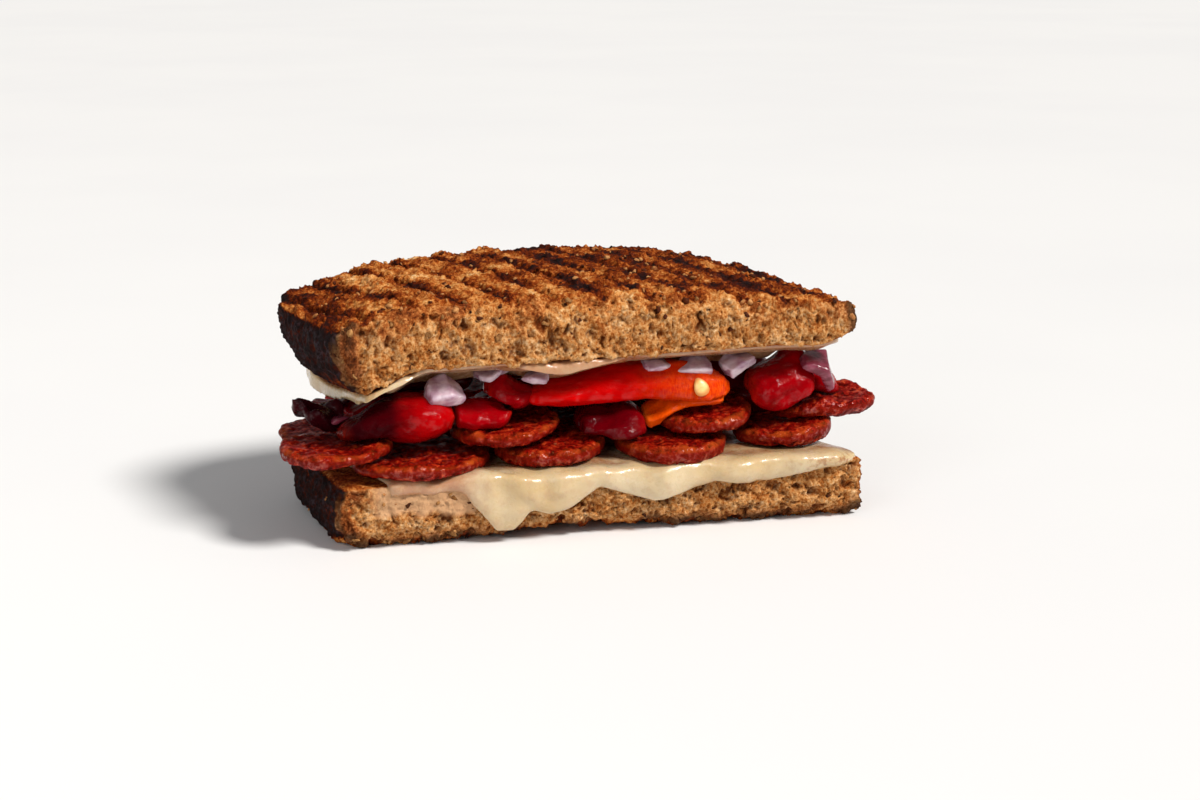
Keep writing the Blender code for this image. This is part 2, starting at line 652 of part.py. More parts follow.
def lay_peppers(sandwich, materials):
    """Lays the pepper, which is soft and settles on the sausage."""
    for seed, (name, kind, place, size, curl, lean, roll, spin) in enumerate(PEPPERS):
        length, width, depth = (side * MM for side in size)
        if kind == "lobe":
            rings = (10, 6) if "tuck" in name or "scrap" in name else (14, 8)
            form = pepper_lobe(length, width, depth, seed + 3, curl, rings)
        else:
            form = pepper_strip(length, width, depth, curl, seed + 3)
        material = materials["orange pepper"] if name == "pepper_flap" else materials["red pepper"]
        piece = sandwich.add(name, form, material)
        sandwich.lay(turned(piece, place, lean, roll, spin), PEPPER_SLUMP)


# Each row: name, (x, y), (length, width, thickness), curl, lean, roll, spin.
ONIONS = (
    ("onion_1", (-37, 7), (10.5, 8, 4.2), 0.35, 38, -14, 12),
    ("onion_2", (-26, 15), (8, 7, 3.2), 0.3, 15, 5, 40),
    ("onion_3", (-15.5, 11), (7, 6, 3.2), 0.3, 24, 8, -30),
    ("onion_4", (13, 15), (8, 7, 3.2), 0.3, 26, -12, 20),
    ("onion_5", (22, 15), (10, 7, 3.8), 0.3, 30, 3, -6),
    ("onion_6", (32.5, 13), (8.5, 7, 3.6), 0.35, 28, 14, 25),
    ("onion_curl", (54, 8), (15, 9, 2.4), 0.8, 34, -50, -20),
    ("onion_sliver", (-61, 13), (7, 4, 1.8), 0.3, 20, 50, 10),
    ("onion_7", (-61, 30), (10, 8, 3.6), 0.3, 0, 5, 60),
    ("onion_8", (-22, 34), (9, 8, 3.4), 0.3, 0, -5, 10),
    ("onion_9", (8, 32), (9, 8, 3.6), 0.3, 0, 4, 80),
    ("onion_10", (-41, 66), (10, 8, 3.6), 0.3, 0, 0, 30),
    ("onion_11", (-3, 70), (9, 8, 3.6), 0.3, 0, 0, 110),
    ("onion_12", (36, 54), (9, 8, 3.6), 0.3, 0, 4, 50),
)


def lay_onions(sandwich, material):
    """Scatters the diced onion over the pepper."""
    for seed, (name, place, size, curl, lean, roll, spin) in enumerate(ONIONS):
        form = onion_dice([side * MM for side in size], curl, seed + 1)
        piece = sandwich.add(name, form, material)
        sandwich.lay(turned(piece, place, lean, roll, spin), ONION_SLUMP)


def cheese_sag(y):
    """How far the upper cheese can sag at a depth y behind the cut."""
    return CHEESE_SLUMP + (CHEESE_SLUMP_BEHIND - CHEESE_SLUMP) * smooth_step((y - CUT_BAND) / CUT_BAND)


def close_sandwich(sandwich, materials):
    """Lays the upper cheese and the top slice on the filling, and lets the cheese sag on it."""
    cheese = sandwich.add("cheese_top", upper_cheese(), materials["cheese"])
    sandwich.lay(cheese, cheese_sag, melts=True)
    bread = sandwich.add("bread_top", bread_slice(UPPER_THICKNESS, 1, 7), materials["bread"])
    sandwich.lay(bread)


def main():
    for obj in list(bpy.data.objects):
        bpy.data.objects.remove(obj, do_unlink=True)
    materials = {
        "bread": finish("toasted grain bread", (0.50, 0.27, 0.10), 0.85),
        "cheese": finish("melted cheese", (0.86, 0.74, 0.45), 0.35),
        "sausage": finish("fried sausage", (0.36, 0.06, 0.03), 0.4),
        "red pepper": finish("roasted red pepper", (0.50, 0.01, 0.01), 0.25),
        "orange pepper": finish("roasted orange pepper", (0.75, 0.16, 0.01), 0.3),
        "onion": finish("red onion", (0.66, 0.50, 0.58), 0.35),
        "seed": finish("pepper seed", (0.80, 0.55, 0.22), 0.5),
    }
    sandwich = Sandwich()
    sandwich.add("bread_bottom", bread_slice(LOWER_THICKNESS, -1, 2), materials["bread"])
    cheese = sandwich.add("cheese_bottom", lower_cheese(), materials["cheese"])
    cheese.location.z = LOWER_THICKNESS + GAP
    lay_sausages(sandwich, SAUSAGES_BELOW, 0.0, materials["sausage"])
    lay_sausages(sandwich, SAUSAGES_ABOVE, SAUSAGE_SLUMP, materials["sausage"])
    lay_peppers(sandwich, materials)
    seed = sandwich.add("pepper_seed", pepper_seed_form(), materials["seed"])
    sandwich.lay(turned(seed, (22.5, 5), 40, 10, 70))
    lay_onions(sandwich, materials["onion"])
    for _ in range(2):
        sandwich.press(sandwich.pieces[2:], cheese.location.z + LOWER_CHEESE_THICKNESS)
    close_sandwich(sandwich, materials)
    sandwich.centre()


main()
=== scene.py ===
"""Looks of half a pressed, grilled sandwich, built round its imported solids.

Two toasted slices of grain bread hold melted cheese, fried rounds of sausage, roasted red pepper and diced
red onion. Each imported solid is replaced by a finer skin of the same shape, which is sculpted in code and
dressed by a procedural finish. Metres, +Z up, the cut face to the front, at -Y.
"""

import logging
import math
import random
from dataclasses import dataclass, field
from enum import Enum
from typing import Callable, Optional, Sequence, Union

import bmesh
import bpy
import numpy as np
from mathutils import Matrix, Vector, noise
from mathutils.bvhtree import BVHTree


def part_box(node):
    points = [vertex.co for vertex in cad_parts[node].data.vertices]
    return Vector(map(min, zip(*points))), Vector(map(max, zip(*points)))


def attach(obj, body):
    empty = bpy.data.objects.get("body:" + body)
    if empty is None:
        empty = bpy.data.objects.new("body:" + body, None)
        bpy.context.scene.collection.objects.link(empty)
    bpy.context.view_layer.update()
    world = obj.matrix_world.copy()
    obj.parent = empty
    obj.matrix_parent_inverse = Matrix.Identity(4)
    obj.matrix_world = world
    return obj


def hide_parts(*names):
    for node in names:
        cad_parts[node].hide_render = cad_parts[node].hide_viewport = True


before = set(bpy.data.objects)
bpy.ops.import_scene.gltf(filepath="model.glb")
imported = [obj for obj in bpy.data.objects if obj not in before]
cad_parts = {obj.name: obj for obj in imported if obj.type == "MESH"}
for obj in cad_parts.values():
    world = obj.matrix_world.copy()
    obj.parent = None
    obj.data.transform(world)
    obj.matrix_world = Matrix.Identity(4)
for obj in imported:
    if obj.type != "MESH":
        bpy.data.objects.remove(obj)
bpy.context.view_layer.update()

log = logging.getLogger("sandwich")

MM = 0.001
NOISE_SEED = 7
FIRST_COLOUR, SECOND_COLOUR, MIXED_COLOUR = 6, 7, 2
Tone = tuple[int, int, int]
Socket = bpy.types.NodeSocket
Material = bpy.types.Material
Mesh = bpy.types.Mesh
Object = bpy.types.Object
Level = Union[float, Socket]
Colour = Union[Tone, Socket]
Array = np.ndarray
Pair = tuple[float, float]
Triple = tuple[float, float, float]
Quad = tuple[float, float, float, float]

# The origin, in the row frame, of the slices' own frame: the middle of the cut near x = 0, the cut at y = 0.
CUT_MIDDLE = Vector(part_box("bread_bottom")[0]) - Vector((-69.3, 0.0, 0.0)) * MM


def linear(tone: Tone) -> Quad:
    """Turns a tone read from a picture, 0 to 255, into the shader's linear colour."""
    shares = [value / 255 for value in tone]
    red, green, blue = (s / 12.92 if s <= 0.04045 else ((s + 0.055) / 1.055) ** 2.4 for s in shares)
    return (red, green, blue, 1.0)


def smooth_step(value: Array) -> Array:
    """Gives 0 below 0, 1 above 1, and an S between."""
    value = np.clip(value, 0.0, 1.0)
    return value * value * (3 - 2 * value)


def rise(value: Array, start: float, width: float) -> Array:
    """An S that climbs from 0 at the start to 1 a width above it."""
    return smooth_step((value - start) / width)


def fall(value: Array, start: float, width: float) -> Array:
    """An S that climbs from 0 at the start to 1 a width below it."""
    return smooth_step((start - value) / width)


def pattern(seed: float) -> Vector:
    """Where in the endless noise a pattern is read."""
    return Vector((seed, 2.3 * seed, 5.1 * seed))


def ripple(points: Array, size: float, seed: float) -> Array:
    """Even noise from -1 to 1 at each point."""
    shift = pattern(seed)
    return np.array([noise.noise(Vector(point) / size + shift) for point in points])


def crags(points: Array, size: float, seed: float, octaves: int = 4) -> Array:
    """Broken, uneven noise from about -1 to 1, as on a torn or baked surface."""
    shift = pattern(seed)
    return np.array([noise.fractal(Vector(point) / size + shift, 0.7, 2.1, octaves) for point in points])


def pits(points: Array, size: float, share: float, seed: float) -> Array:
    """Depth, from 0 to 1, of round hollows that lie in some of the cells of a given size."""
    shift = pattern(seed)
    depths = np.zeros(len(points))
    for index, point in enumerate(points):
        distances, centres = noise.voronoi(Vector(point) / size + shift)
        chance = 0.5 + 0.5 * noise.cell(centres[0] * 9.7)
        if chance < share:
            radius = 0.30 + 0.38 * chance / share
            depths[index] = max(0.0, 1 - (distances[0] / radius) ** 2)
    return depths


def granules(points: Array, size: float, seed: float) -> Array:
    """Height, from 0 to 1, of rounded grains packed side by side, each with a height of its own."""
    shift = pattern(seed)
    heights = np.zeros(len(points))
    for index, point in enumerate(points):
        distances, centres = noise.voronoi(Vector(point) / size + shift)
        tall = 0.6 + 0.4 * noise.cell(centres[0] * 7.3)
        heights[index] = tall * max(0.0, 1 - (distances[0] / 0.62) ** 2)
    return heights


def shaken(points: Array, size: float, reach: float) -> Array:
    """The points, each moved a little, so that a pattern read there has uneven outlines."""
    return points + reach * np.array([noise.noise_vector(Vector(point) / size) for point in points])


def sag(points: Array) -> Array:
    """How far, in millimetres, the upper slice's underside hangs at the cut and at the blunt end."""
    tip = rise(points[:, 0], 42, 12)
    cut = (2.2 + 1.9 * tip) * fall(points[:, 1], 14, 9)
    blunt = 4.2 * fall(points[:, 0], -50, 12) * fall(points[:, 1], 50, 25)
    return np.hypot(cut, blunt)


@dataclass(frozen=True)
class Nudge:
    """Small moves of a piece, in millimetres: its left and right ends up, its top up, its foot down."""

    left: float = 0.0
    right: float = 0.0
    up: float = 0.0
    down: float = 0.0
    slide: float = 0.0
    reach: float = 0.0
    forward: float = 0.0

    def apply(self, skin: "Skin") -> None:
        """Moves a piece's points."""
        x, y, z = skin.points.T
        along = (x - x.min()) / (x.max() - x.min())
        height = (z - z.min()) / (z.max() - z.min())
        z += self.left * (1 - along) + self.right * along + self.up * height - self.down * (1 - height)
        x += self.slide - self.reach * (1 - along) ** 2
        y -= self.forward
        skin.renew()


class Graph:
    """A material's nodes, with short calls for what the finishes share."""

    def __init__(self, name: str) -> None:
        """Starts a material that has only its shader."""
        self.material = bpy.data.materials.new(name)
        self.material.use_nodes = True
        self.tree = self.material.node_tree
        self.shader = self.tree.nodes["Principled BSDF"]
        self.place = self.tree.nodes.new("ShaderNodeTexCoord").outputs["Object"]

    def plug(self, value: Level, socket: Socket) -> None:
        """Links a socket to another, or sets a plain value on it."""
        if isinstance(value, Socket):
            self.tree.links.new(value, socket)
        else:
            socket.default_value = value

    def node(self, kind: str, **inputs: Union[Level, Triple]) -> bpy.types.Node:
        """Adds a node and sets its inputs, each by its name with _ for a space."""
        node = self.tree.nodes.new(f"ShaderNode{kind}")
        for name, value in inputs.items():
            self.plug(value, node.inputs[name.replace("_", " ")])
        return node

    def mark(self, name: str) -> Socket:
        """Reads one of the values that the sculpting left at each vertex."""
        node = self.node("Attribute")
        node.attribute_name = name
        return node.outputs["Fac"]

    def stretched(self, scale: Triple) -> Socket:
        """The place, stretched along the axes."""
        return self.node("Mapping", Vector=self.place, Scale=scale).outputs["Vector"]

    def noise(
        self, size: float, detail: float = 5.0, roughness: float = 0.6, place: Optional[Socket] = None
    ) -> Socket:
        """Soft noise from 0 to 1."""
        node = self.node("TexNoise", Vector=place or self.place, Scale=1 / (size * MM), Detail=detail)
        node.inputs["Roughness"].default_value = roughness
        return node.outputs["Fac"]

    def cells(self, size: float) -> Socket:
        """Distance from the middle of the nearest of many scattered cells, 0 to about 1."""
        return self.node("TexVoronoi", Vector=self.place, Scale=1 / (size * MM)).outputs["Distance"]

    def math(self, operation: str, first: Level, second: Level, clamp: bool = False) -> Socket:
        """Works out one value from two."""
        node = self.node("Math")
        node.operation = operation
        node.use_clamp = clamp
        self.plug(first, node.inputs[0])
        self.plug(second, node.inputs[1])
        return node.outputs[0]

    def times(self, first: Level, second: Level, clamp: bool = False) -> Socket:
        """Multiplies two values."""
        return self.math("MULTIPLY", first, second, clamp)

    def spread(
        self, value: Socket, low: float, high: float, to_low: float = 0.0, to_high: float = 1.0
    ) -> Socket:
        """Stretches a value's range, low to high, onto another, and holds it there."""
        node = self.node("MapRange", Value=value, From_Min=low, From_Max=high, To_Min=to_low, To_Max=to_high)
        return node.outputs["Result"]

    def patches(self, size: float, detail: float, *reach: float) -> Socket:
        """Noise of a size in millimetres, with its range stretched as by spread."""
        return self.spread(self.noise(size, detail), *reach)

    def ramp(self, value: Socket, stops: Sequence[tuple[float, Tone]]) -> Socket:
        """Turns a value into a colour."""
        node = self.node("ValToRGB", Fac=value)
        elements = node.color_ramp.elements
        while len(elements) < len(stops):
            elements.new(0.5)
        for element, (place, tone) in zip(elements, stops):
            element.position = place
            element.color = linear(tone)
        return node.outputs["Color"]

    def mix(self, share: Level, first: Colour, second: Colour) -> Socket:
        """Mixes two colours."""
        node = self.node("Mix")
        node.data_type = "RGBA"
        self.plug(share, node.inputs[0])
        for colour, socket in ((first, node.inputs[FIRST_COLOUR]), (second, node.inputs[SECOND_COLOUR])):
            self.plug(colour if isinstance(colour, Socket) else linear(colour), socket)
        return node.outputs[MIXED_COLOUR]

    def relief(self, height: Socket, depth: float, below: Optional[Socket] = None) -> Socket:
        """Fine relief that light shows and the mesh doesn't hold."""
        node = self.node("Bump", Strength=1.0, Distance=depth * MM, Height=height)
        if below is not None:
            self.plug(below, node.inputs["Normal"])
        return node.outputs["Normal"]

    def shade(self, **inputs: Union[Level, Tone]) -> Material:
        """Sets the shader's inputs, each by its name with _ for a space, and gives the material."""
        for name, value in inputs.items():
            self.plug(value, self.shader.inputs[name.replace("_", " ")])
        return self.material


@dataclass(frozen=True)
class ToastedBread:
    """Grain bread: open crumb at the cut, browned and charred where the grill and the pan reached it."""

    crumb_stops: tuple[tuple[float, Tone], ...] = (
        (0.34, (100, 36, 2)),
        (0.43, (168, 98, 40)),
        (0.52, (208, 150, 90)),
        (0.64, (240, 204, 156)),
    )
    toast_stops: tuple[tuple[float, Tone], ...] = (
        (0.00, (246, 208, 156)),
        (0.16, (232, 170, 102)),
        (0.32, (206, 128, 60)),
        (0.48, (156, 72, 20)),
        (0.64, (98, 32, 3)),
        (0.80, (50, 18, 12)),
        (1.00, (30, 20, 20)),
    )
    # Painted shade: the colour of pores and crevices, where shade falls.
    shaded_hollow: Tone = (86, 26, 0)
    soaked: Tone = (206, 162, 122)
    # Soot on the charred crust and painted sheen: a purple-grey that stands in for its greyish gloss.
    soot_and_sheen: Tone = (72, 60, 66)
    roughness: float = 0.70

    def material(self) -> Material:
        """Makes the material, which reads the marks crumb, toast and soaked, a mark for painted shade in
        pores and crevices, and a mark for soot with painted sheen.
        """
        graph = Graph("toasted_grain_bread")
        mottle = graph.noise(3.0, 6, 0.72)
        grain = graph.noise(0.7, 4, 0.7)
        speck = graph.cells(1.25)
        shade = graph.math("ADD", graph.times(mottle, 0.5), graph.times(grain, 0.5))
        crumb = graph.ramp(shade, self.crumb_stops)
        bran = graph.times(graph.spread(speck, 0.22, 0.12), graph.patches(3.1, 2, 0.46, 0.56))
        crumb = graph.mix(graph.times(bran, 0.8), crumb, (84, 40, 14))
        uneven = graph.spread(shade, 0.34, 0.66, -0.34, 0.34)
        browned = graph.ramp(graph.math("SUBTRACT", graph.mark("toast"), uneven), self.toast_stops)
        colour = graph.mix(graph.mark("crumb"), browned, crumb)
        # Painted shade: pores and crevices darkened towards a dark brown.
        colour = graph.mix(graph.times(graph.mark("shaded_hollow"), 0.85, clamp=True), colour, self.shaded_hollow)
        colour = graph.mix(graph.mark("soaked"), colour, self.soaked)
        # Soot and painted sheen: purple-grey patches on the charred crust.
        ash_and_sheen = graph.times(graph.mark("soot_and_sheen"), graph.spread(graph.noise(1.0, 4, 0.7), 0.48, 0.62, 0.0, 0.75))
        colour = graph.mix(ash_and_sheen, colour, self.soot_and_sheen)
        matt = graph.math("SUBTRACT", 1.0, graph.mark("crumb"))
        relief = graph.relief(grain, 0.42, graph.relief(graph.noise(0.24, 3, 0.6), 0.12))
        relief = graph.relief(mottle, 0.5, relief)
        return graph.shade(
            Base_Color=colour,
            Roughness=self.roughness,
            Normal=relief,
            Specular_IOR_Level=0.06,
            Coat_Weight=graph.times(graph.patches(1.1, 3, 0.6, 0.68, 0.0, 0.3), matt),
            Coat_IOR=1.35,
            Coat_Roughness=0.2,
            Coat_Normal=relief,
        )


@dataclass(frozen=True)
class MeltedCheese:
    """Glossy melted cheese, cream where it is thick, tan and glassy where it is thin or has soaked in."""

    thick: Tone = (198, 170, 124)
    pale: Tone = (212, 192, 156)
    thin: Tone = (182, 132, 96)
    browned: Tone = (150, 92, 44)
    oiled: Tone = (156, 104, 68)

    def material(self) -> Material:
        """Makes the material, which reads the marks thin, browned and oiled."""
        graph = Graph("melted_cheese")
        cloud = graph.noise(11.0, 2, 0.4)
        colour = graph.mix(graph.spread(cloud, 0.35, 0.65), self.thick, self.pale)
        uneven = graph.patches(2.4, 4, 0.3, 0.7, -0.25, 0.25)
        patchy = graph.math("ADD", graph.mark("thin"), uneven, clamp=True)
        colour = graph.mix(patchy, colour, self.thin)
        stain = graph.times(graph.mark("oiled"), graph.patches(6.0, 4, 0.38, 0.6, 0.25, 0.95))
        colour = graph.mix(stain, colour, self.oiled)
        freckle = graph.times(graph.mark("browned"), graph.patches(1.6, 4, 0.5, 0.62))
        colour = graph.mix(freckle, colour, self.browned)
        relief = graph.relief(graph.noise(3.2, 3, 0.55), 0.22, graph.relief(graph.noise(0.7, 3, 0.5), 0.04))
        return graph.shade(
            Base_Color=colour,
            Roughness=graph.patches(2.0, 3, 0.35, 0.65, 0.2, 0.42),
            Normal=relief,
            Specular_IOR_Level=0.4,
            Subsurface_Weight=0.3,
            Subsurface_Radius=(1.0, 0.65, 0.3),
            Subsurface_Scale=1.6 * MM,
            Coat_Weight=0.55,
            Coat_Roughness=0.14,
            Coat_Normal=graph.relief(graph.noise(2.2, 3, 0.5), 0.3),
        )


@dataclass(frozen=True)
class FriedSausage:
    """Fried sausage: brick-red meat with orange fat, a darker skin and a thin layer of hot fat."""

    meat_stops: tuple[tuple[float, Tone], ...] = (
        (0.36, (44, 0, 0)),
        (0.46, (112, 3, 2)),
        (0.54, (156, 16, 5)),
        (0.64, (212, 78, 34)),
    )
    skin: Tone = (124, 20, 5)
    edge: Tone = (184, 76, 24)
    fat: Tone = (196, 104, 66)

    def material(self) -> Material:
        """Makes the material, which reads the marks skin and edge, and a mark for painted shade in crevices
        and pits.
        """
        graph = Graph("fried_sausage")
        mince = graph.noise(1.5, 6, 0.72)
        meat = graph.ramp(mince, self.meat_stops)
        flecks = graph.spread(graph.cells(1.9), 0.24, 0.14)
        chosen = graph.patches(2.8, 2, 0.52, 0.6)
        meat = graph.mix(graph.times(graph.times(flecks, chosen), 0.6), meat, self.fat)
        colour = graph.mix(graph.times(graph.mark("skin"), 0.65), meat, self.skin)
        rim = graph.times(graph.mark("edge"), graph.patches(3.5, 4, 0.38, 0.62))
        colour = graph.mix(rim, colour, self.edge)
        # Painted shade: crevices and pits darkened to a dark red.
        colour = graph.mix(graph.times(graph.mark("shaded_hollow"), 0.75), colour, (52, 6, 6))
        relief = graph.relief(mince, 0.75, graph.relief(graph.noise(0.55, 4, 0.65), 0.25))
        greasy = graph.patches(4.0, 2, 0.4, 0.55, 0.3, 1.0)
        return graph.shade(
            Base_Color=colour,
            Roughness=0.5,
            Normal=relief,
            Specular_IOR_Level=0.2,
            Specular_Tint=linear((250, 120, 80)),
            Coat_Weight=graph.times(graph.spread(mince, 0.5, 0.58), greasy),
            Coat_IOR=1.5,
            Coat_Roughness=0.12,
            Coat_Normal=graph.relief(graph.noise(1.0, 3, 0.6), 0.12, graph.relief(mince, 0.14)),
        )


class PepperTone(Enum):
    """How a piece of roasted pepper is coloured: its skin, a darker tone for its veins and for painted shade,
    and its flesh.
    """

    BRIGHT = ((198, 2, 2), (124, 0, 3), (226, 78, 8))
    SHADED = ((166, 0, 4), (28, 0, 5), (190, 40, 10))
    CRIMSON = ((152, 0, 8), (74, 0, 4), (190, 44, 14))
    WINE = ((96, 0, 8), (30, 0, 3), (140, 6, 10))
    BLACKENED = ((50, 4, 12), (18, 0, 4), (96, 22, 26))
    ORANGE = ((230, 82, 6), (188, 38, 0), (240, 140, 40))


BRIGHT, SHADED, CRIMSON, WINE, BLACKENED, ORANGE = PepperTone


@dataclass(frozen=True)
class RoastedPepper:
    """Roasted pepper: a wet, wrinkled skin with darker veins, painted shade on an end that is marked for it
    and in crevices, and flesh at its torn edges.
    """

    tone: PepperTone
    gloss: float = 0.16

    def material(self) -> Material:
        """Makes the material, which reads a mark for painted shade on one end, the mark torn, and a mark for
        painted shade in crevices.
        """
        skin, vein_and_shade, flesh = self.tone.value
        graph = Graph(f"roasted_pepper_{self.tone.name.lower()}")
        veins = graph.noise(4.5, 4, 0.6, graph.stretched((0.45, 1.0, 1.0)))
        colour = graph.mix(graph.spread(veins, 0.42, 0.68, 0.0, 0.6), skin, vein_and_shade)
        # Painted shade: the marked end takes the darker tone, as if it lay in shade.
        colour = graph.mix(graph.mark("deep"), colour, vein_and_shade)
        fibres = graph.noise(0.8, 4, 0.7, graph.stretched((2.2, 1.0, 0.5)))
        torn = graph.times(graph.mark("torn"), graph.spread(fibres, 0.3, 0.6))
        colour = graph.mix(torn, colour, flesh)
        # Painted shade: crevices take the darker tone.
        colour = graph.mix(graph.times(graph.mark("shaded_hollow"), 0.6), colour, vein_and_shade)
        wrinkle = graph.noise(1.7, 4, 0.6, graph.stretched((0.6, 1.0, 1.0)))
        relief = graph.relief(wrinkle, 0.28, graph.relief(graph.noise(0.45, 3, 0.5), 0.05))
        wet = graph.patches(2.2, 3, 0.46, 0.58, 0.0, 0.6)
        # Less coat where shade is painted on the end.
        lit = graph.spread(graph.mark("deep"), 0.0, 0.8, 1.0, 0.12)
        return graph.shade(
            Base_Color=colour,
            Roughness=graph.patches(2.6, 3, 0.35, 0.65, self.gloss, self.gloss + 0.2),
            Normal=relief,
            Specular_IOR_Level=0.08,
            Specular_Tint=linear((240, 120, 110)),
            Coat_Weight=graph.times(wet, lit),
            Coat_IOR=1.4,
            Coat_Roughness=0.05,
            Coat_Normal=graph.relief(graph.noise(1.4, 3, 0.5), 0.26, graph.relief(graph.noise(0.5, 2), 0.12)),
        )


@dataclass(frozen=True)
class RedOnion:
    """Diced red onion: glassy white flesh in layers, with a purple skin side."""

    name: str = "red_onion"
    flesh: Tone = (228, 212, 220)
    stained: Tone = (178, 142, 164)
    skin: Tone = (118, 42, 70)
    streak: Tone = (234, 218, 222)

    def material(self) -> Material:
        """Makes the material, which reads the mark skin."""
        graph = Graph(self.name)
        cloud = graph.noise(3.0, 3, 0.5)
        lines = graph.noise(0.7, 2, 0.5, graph.stretched((0.25, 1.0, 1.0)))
        colour = graph.mix(graph.spread(cloud, 0.35, 0.65), self.flesh, self.stained)
        colour = graph.mix(graph.spread(lines, 0.45, 0.7, 0.0, 0.3), colour, self.streak)
        purple = graph.times(graph.mark("skin"), graph.patches(1.8, 3, 0.3, 0.6, 0.45, 1.0))
        colour = graph.mix(purple, colour, self.skin)
        relief = graph.relief(lines, 0.12, graph.relief(graph.noise(0.4, 3, 0.5), 0.04))
        return graph.shade(
            Base_Color=colour,
            Roughness=0.24,
            Normal=relief,
            Specular_IOR_Level=0.35,
            Subsurface_Weight=0.4,
            Subsurface_Radius=(1.0, 0.75, 0.85),
            Subsurface_Scale=1.6 * MM,
            Coat_Weight=0.3,
            Coat_Roughness=0.1,
            Coat_Normal=relief,
        )


@dataclass(frozen=True)
class PepperSeed:
    """A roasted pepper seed: pale yellow, browner round its edge."""

    middle: Tone = (250, 206, 128)
    edge: Tone = (214, 138, 62)

    def material(self) -> Material:
        """Makes the material, which reads the mark edge."""
        graph = Graph("pepper_seed_coat")
        colour = graph.mix(graph.mark("edge"), self.middle, self.edge)
        colour = graph.mix(graph.patches(0.6, 4, 0.45, 0.7, 0.0, 0.4), colour, self.edge)
        return graph.shade(
            Base_Color=colour,
            Roughness=0.36,
            Normal=graph.relief(graph.noise(0.35, 4), 0.08),
            Coat_Weight=0.3,
        )


class CrumbTone(Enum):
    """Kinds of small bits on the bread, each with a light and a dark tone."""

    GOLDEN = ((206, 148, 90), (138, 80, 40))
    CHARRED = ((96, 42, 16), (40, 18, 8))
    SEEDS = ((186, 136, 82), (112, 70, 34))
    FLAX = ((92, 46, 16), (48, 22, 8))


@dataclass(frozen=True)
class BreadBits:
    """Crumbs and grains, of one tone each."""

    tone: CrumbTone

    def material(self) -> Material:
        """Makes the material."""
        light, dark = self.tone.value
        graph = Graph(f"bread_bits_{self.tone.name.lower()}")
        mottle = graph.noise(1.1, 4, 0.65)
        return graph.shade(
            Base_Color=graph.mix(graph.spread(mottle, 0.36, 0.62), light, dark),
            Roughness=0.6,
            Specular_IOR_Level=0.1,
            Normal=graph.relief(graph.noise(0.4, 3), 0.12),
        )


class Skin:
    """A piece's mesh while it is sculpted, with its points in millimetres in the slices' own frame."""

    def __init__(self, mesh: Mesh) -> None:
        """Reads a mesh."""
        self.mesh = mesh
        self.read()

    def read(self) -> None:
        """Takes the points and the outward directions from the mesh."""
        count = len(self.mesh.vertices)
        flat = np.empty(count * 3)
        self.mesh.vertices.foreach_get("co", flat)
        self.points = (flat.reshape(-1, 3) - np.array(CUT_MIDDLE)) / MM
        normals = np.empty(count * 3)
        self.mesh.vertex_normals.foreach_get("vector", normals)
        self.normals = normals.reshape(-1, 3)

    def write(self) -> None:
        """Puts the points back into the mesh."""
        self.mesh.vertices.foreach_set("co", (self.points * MM + np.array(CUT_MIDDLE)).ravel())
        self.mesh.update()

    def renew(self) -> None:
        """Writes the moved points, and reads the new directions."""
        self.write()
        self.read()

    def push(self, heights: Array) -> None:
        """Moves each point outwards by so many millimetres, and reads the new directions."""
        self.points = self.points + self.normals * heights[:, None]
        self.renew()

    def hollows(self, rounds: int) -> Array:
        """How far each point lies under its surroundings, in millimetres; crests come out negative."""
        level = np.stack([self.evened(self.points[:, axis], rounds) for axis in range(3)], axis=1)
        return ((level - self.points) * self.normals).sum(axis=1)

    def evened(self, values: Array, rounds: int) -> Array:
        """Spreads a value along the edges, so that it changes gently."""
        ends = np.empty(len(self.mesh.edges) * 2, dtype=np.int32)
        self.mesh.edges.foreach_get("vertices", ends)
        first, second = ends.reshape(-1, 2).T
        count = len(self.points)
        near = np.maximum(np.bincount(ends, minlength=count), 1)
        for _ in range(rounds):
            total = np.bincount(first, values[second], count) + np.bincount(second, values[first], count)
            values = 0.35 * values + 0.65 * total / near
        return values

    def mark(self, name: str, values: Array) -> None:
        """Keeps one value from 0 to 1 at each vertex for the finish to read."""
        kept = self.mesh.attributes.new(name, "FLOAT", "POINT")
        kept.data.foreach_set("value", np.clip(values, 0.0, 1.0).astype(np.float32))


def meshed(form: bmesh.types.BMesh, name: str) -> Mesh:
    """Turns a form into a mesh, and frees the form."""
    mesh = bpy.data.meshes.new(name)
    form.to_mesh(mesh)
    form.free()
    return mesh


def placed(name: str, data: bpy.types.ID) -> Object:
    """Puts a mesh, a light or a camera into the scene."""
    made = bpy.data.objects.new(name, data)
    bpy.context.scene.collection.objects.link(made)
    return made


def search_tree(mesh: Mesh) -> BVHTree:
    """A search tree over a mesh's faces."""
    corners = [vertex.co.copy() for vertex in mesh.vertices]
    return BVHTree.FromPolygons(corners, [face.vertices[:] for face in mesh.polygons])


def merged_copy(node: str) -> Mesh:
    """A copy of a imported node's mesh whose loose triangles are joined."""
    form = bmesh.new()
    form.from_mesh(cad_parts[node].data)
    bmesh.ops.remove_doubles(form, verts=form.verts[:], dist=0.005 * MM)
    return meshed(form, node)


def voxelled(mesh: Mesh, voxel: float) -> Mesh:
    """An even skin of small squares over a closed mesh."""
    carrier = placed("skin", mesh)
    remesh = carrier.modifiers.new("squares", "REMESH")
    remesh.mode = "VOXEL"
    remesh.voxel_size = voxel * MM
    graph = bpy.context.evaluated_depsgraph_get()
    result = bpy.data.meshes.new_from_object(carrier.evaluated_get(graph))
    bpy.data.objects.remove(carrier, do_unlink=True)
    bpy.data.meshes.remove(mesh)
    result.materials.clear()
    return result


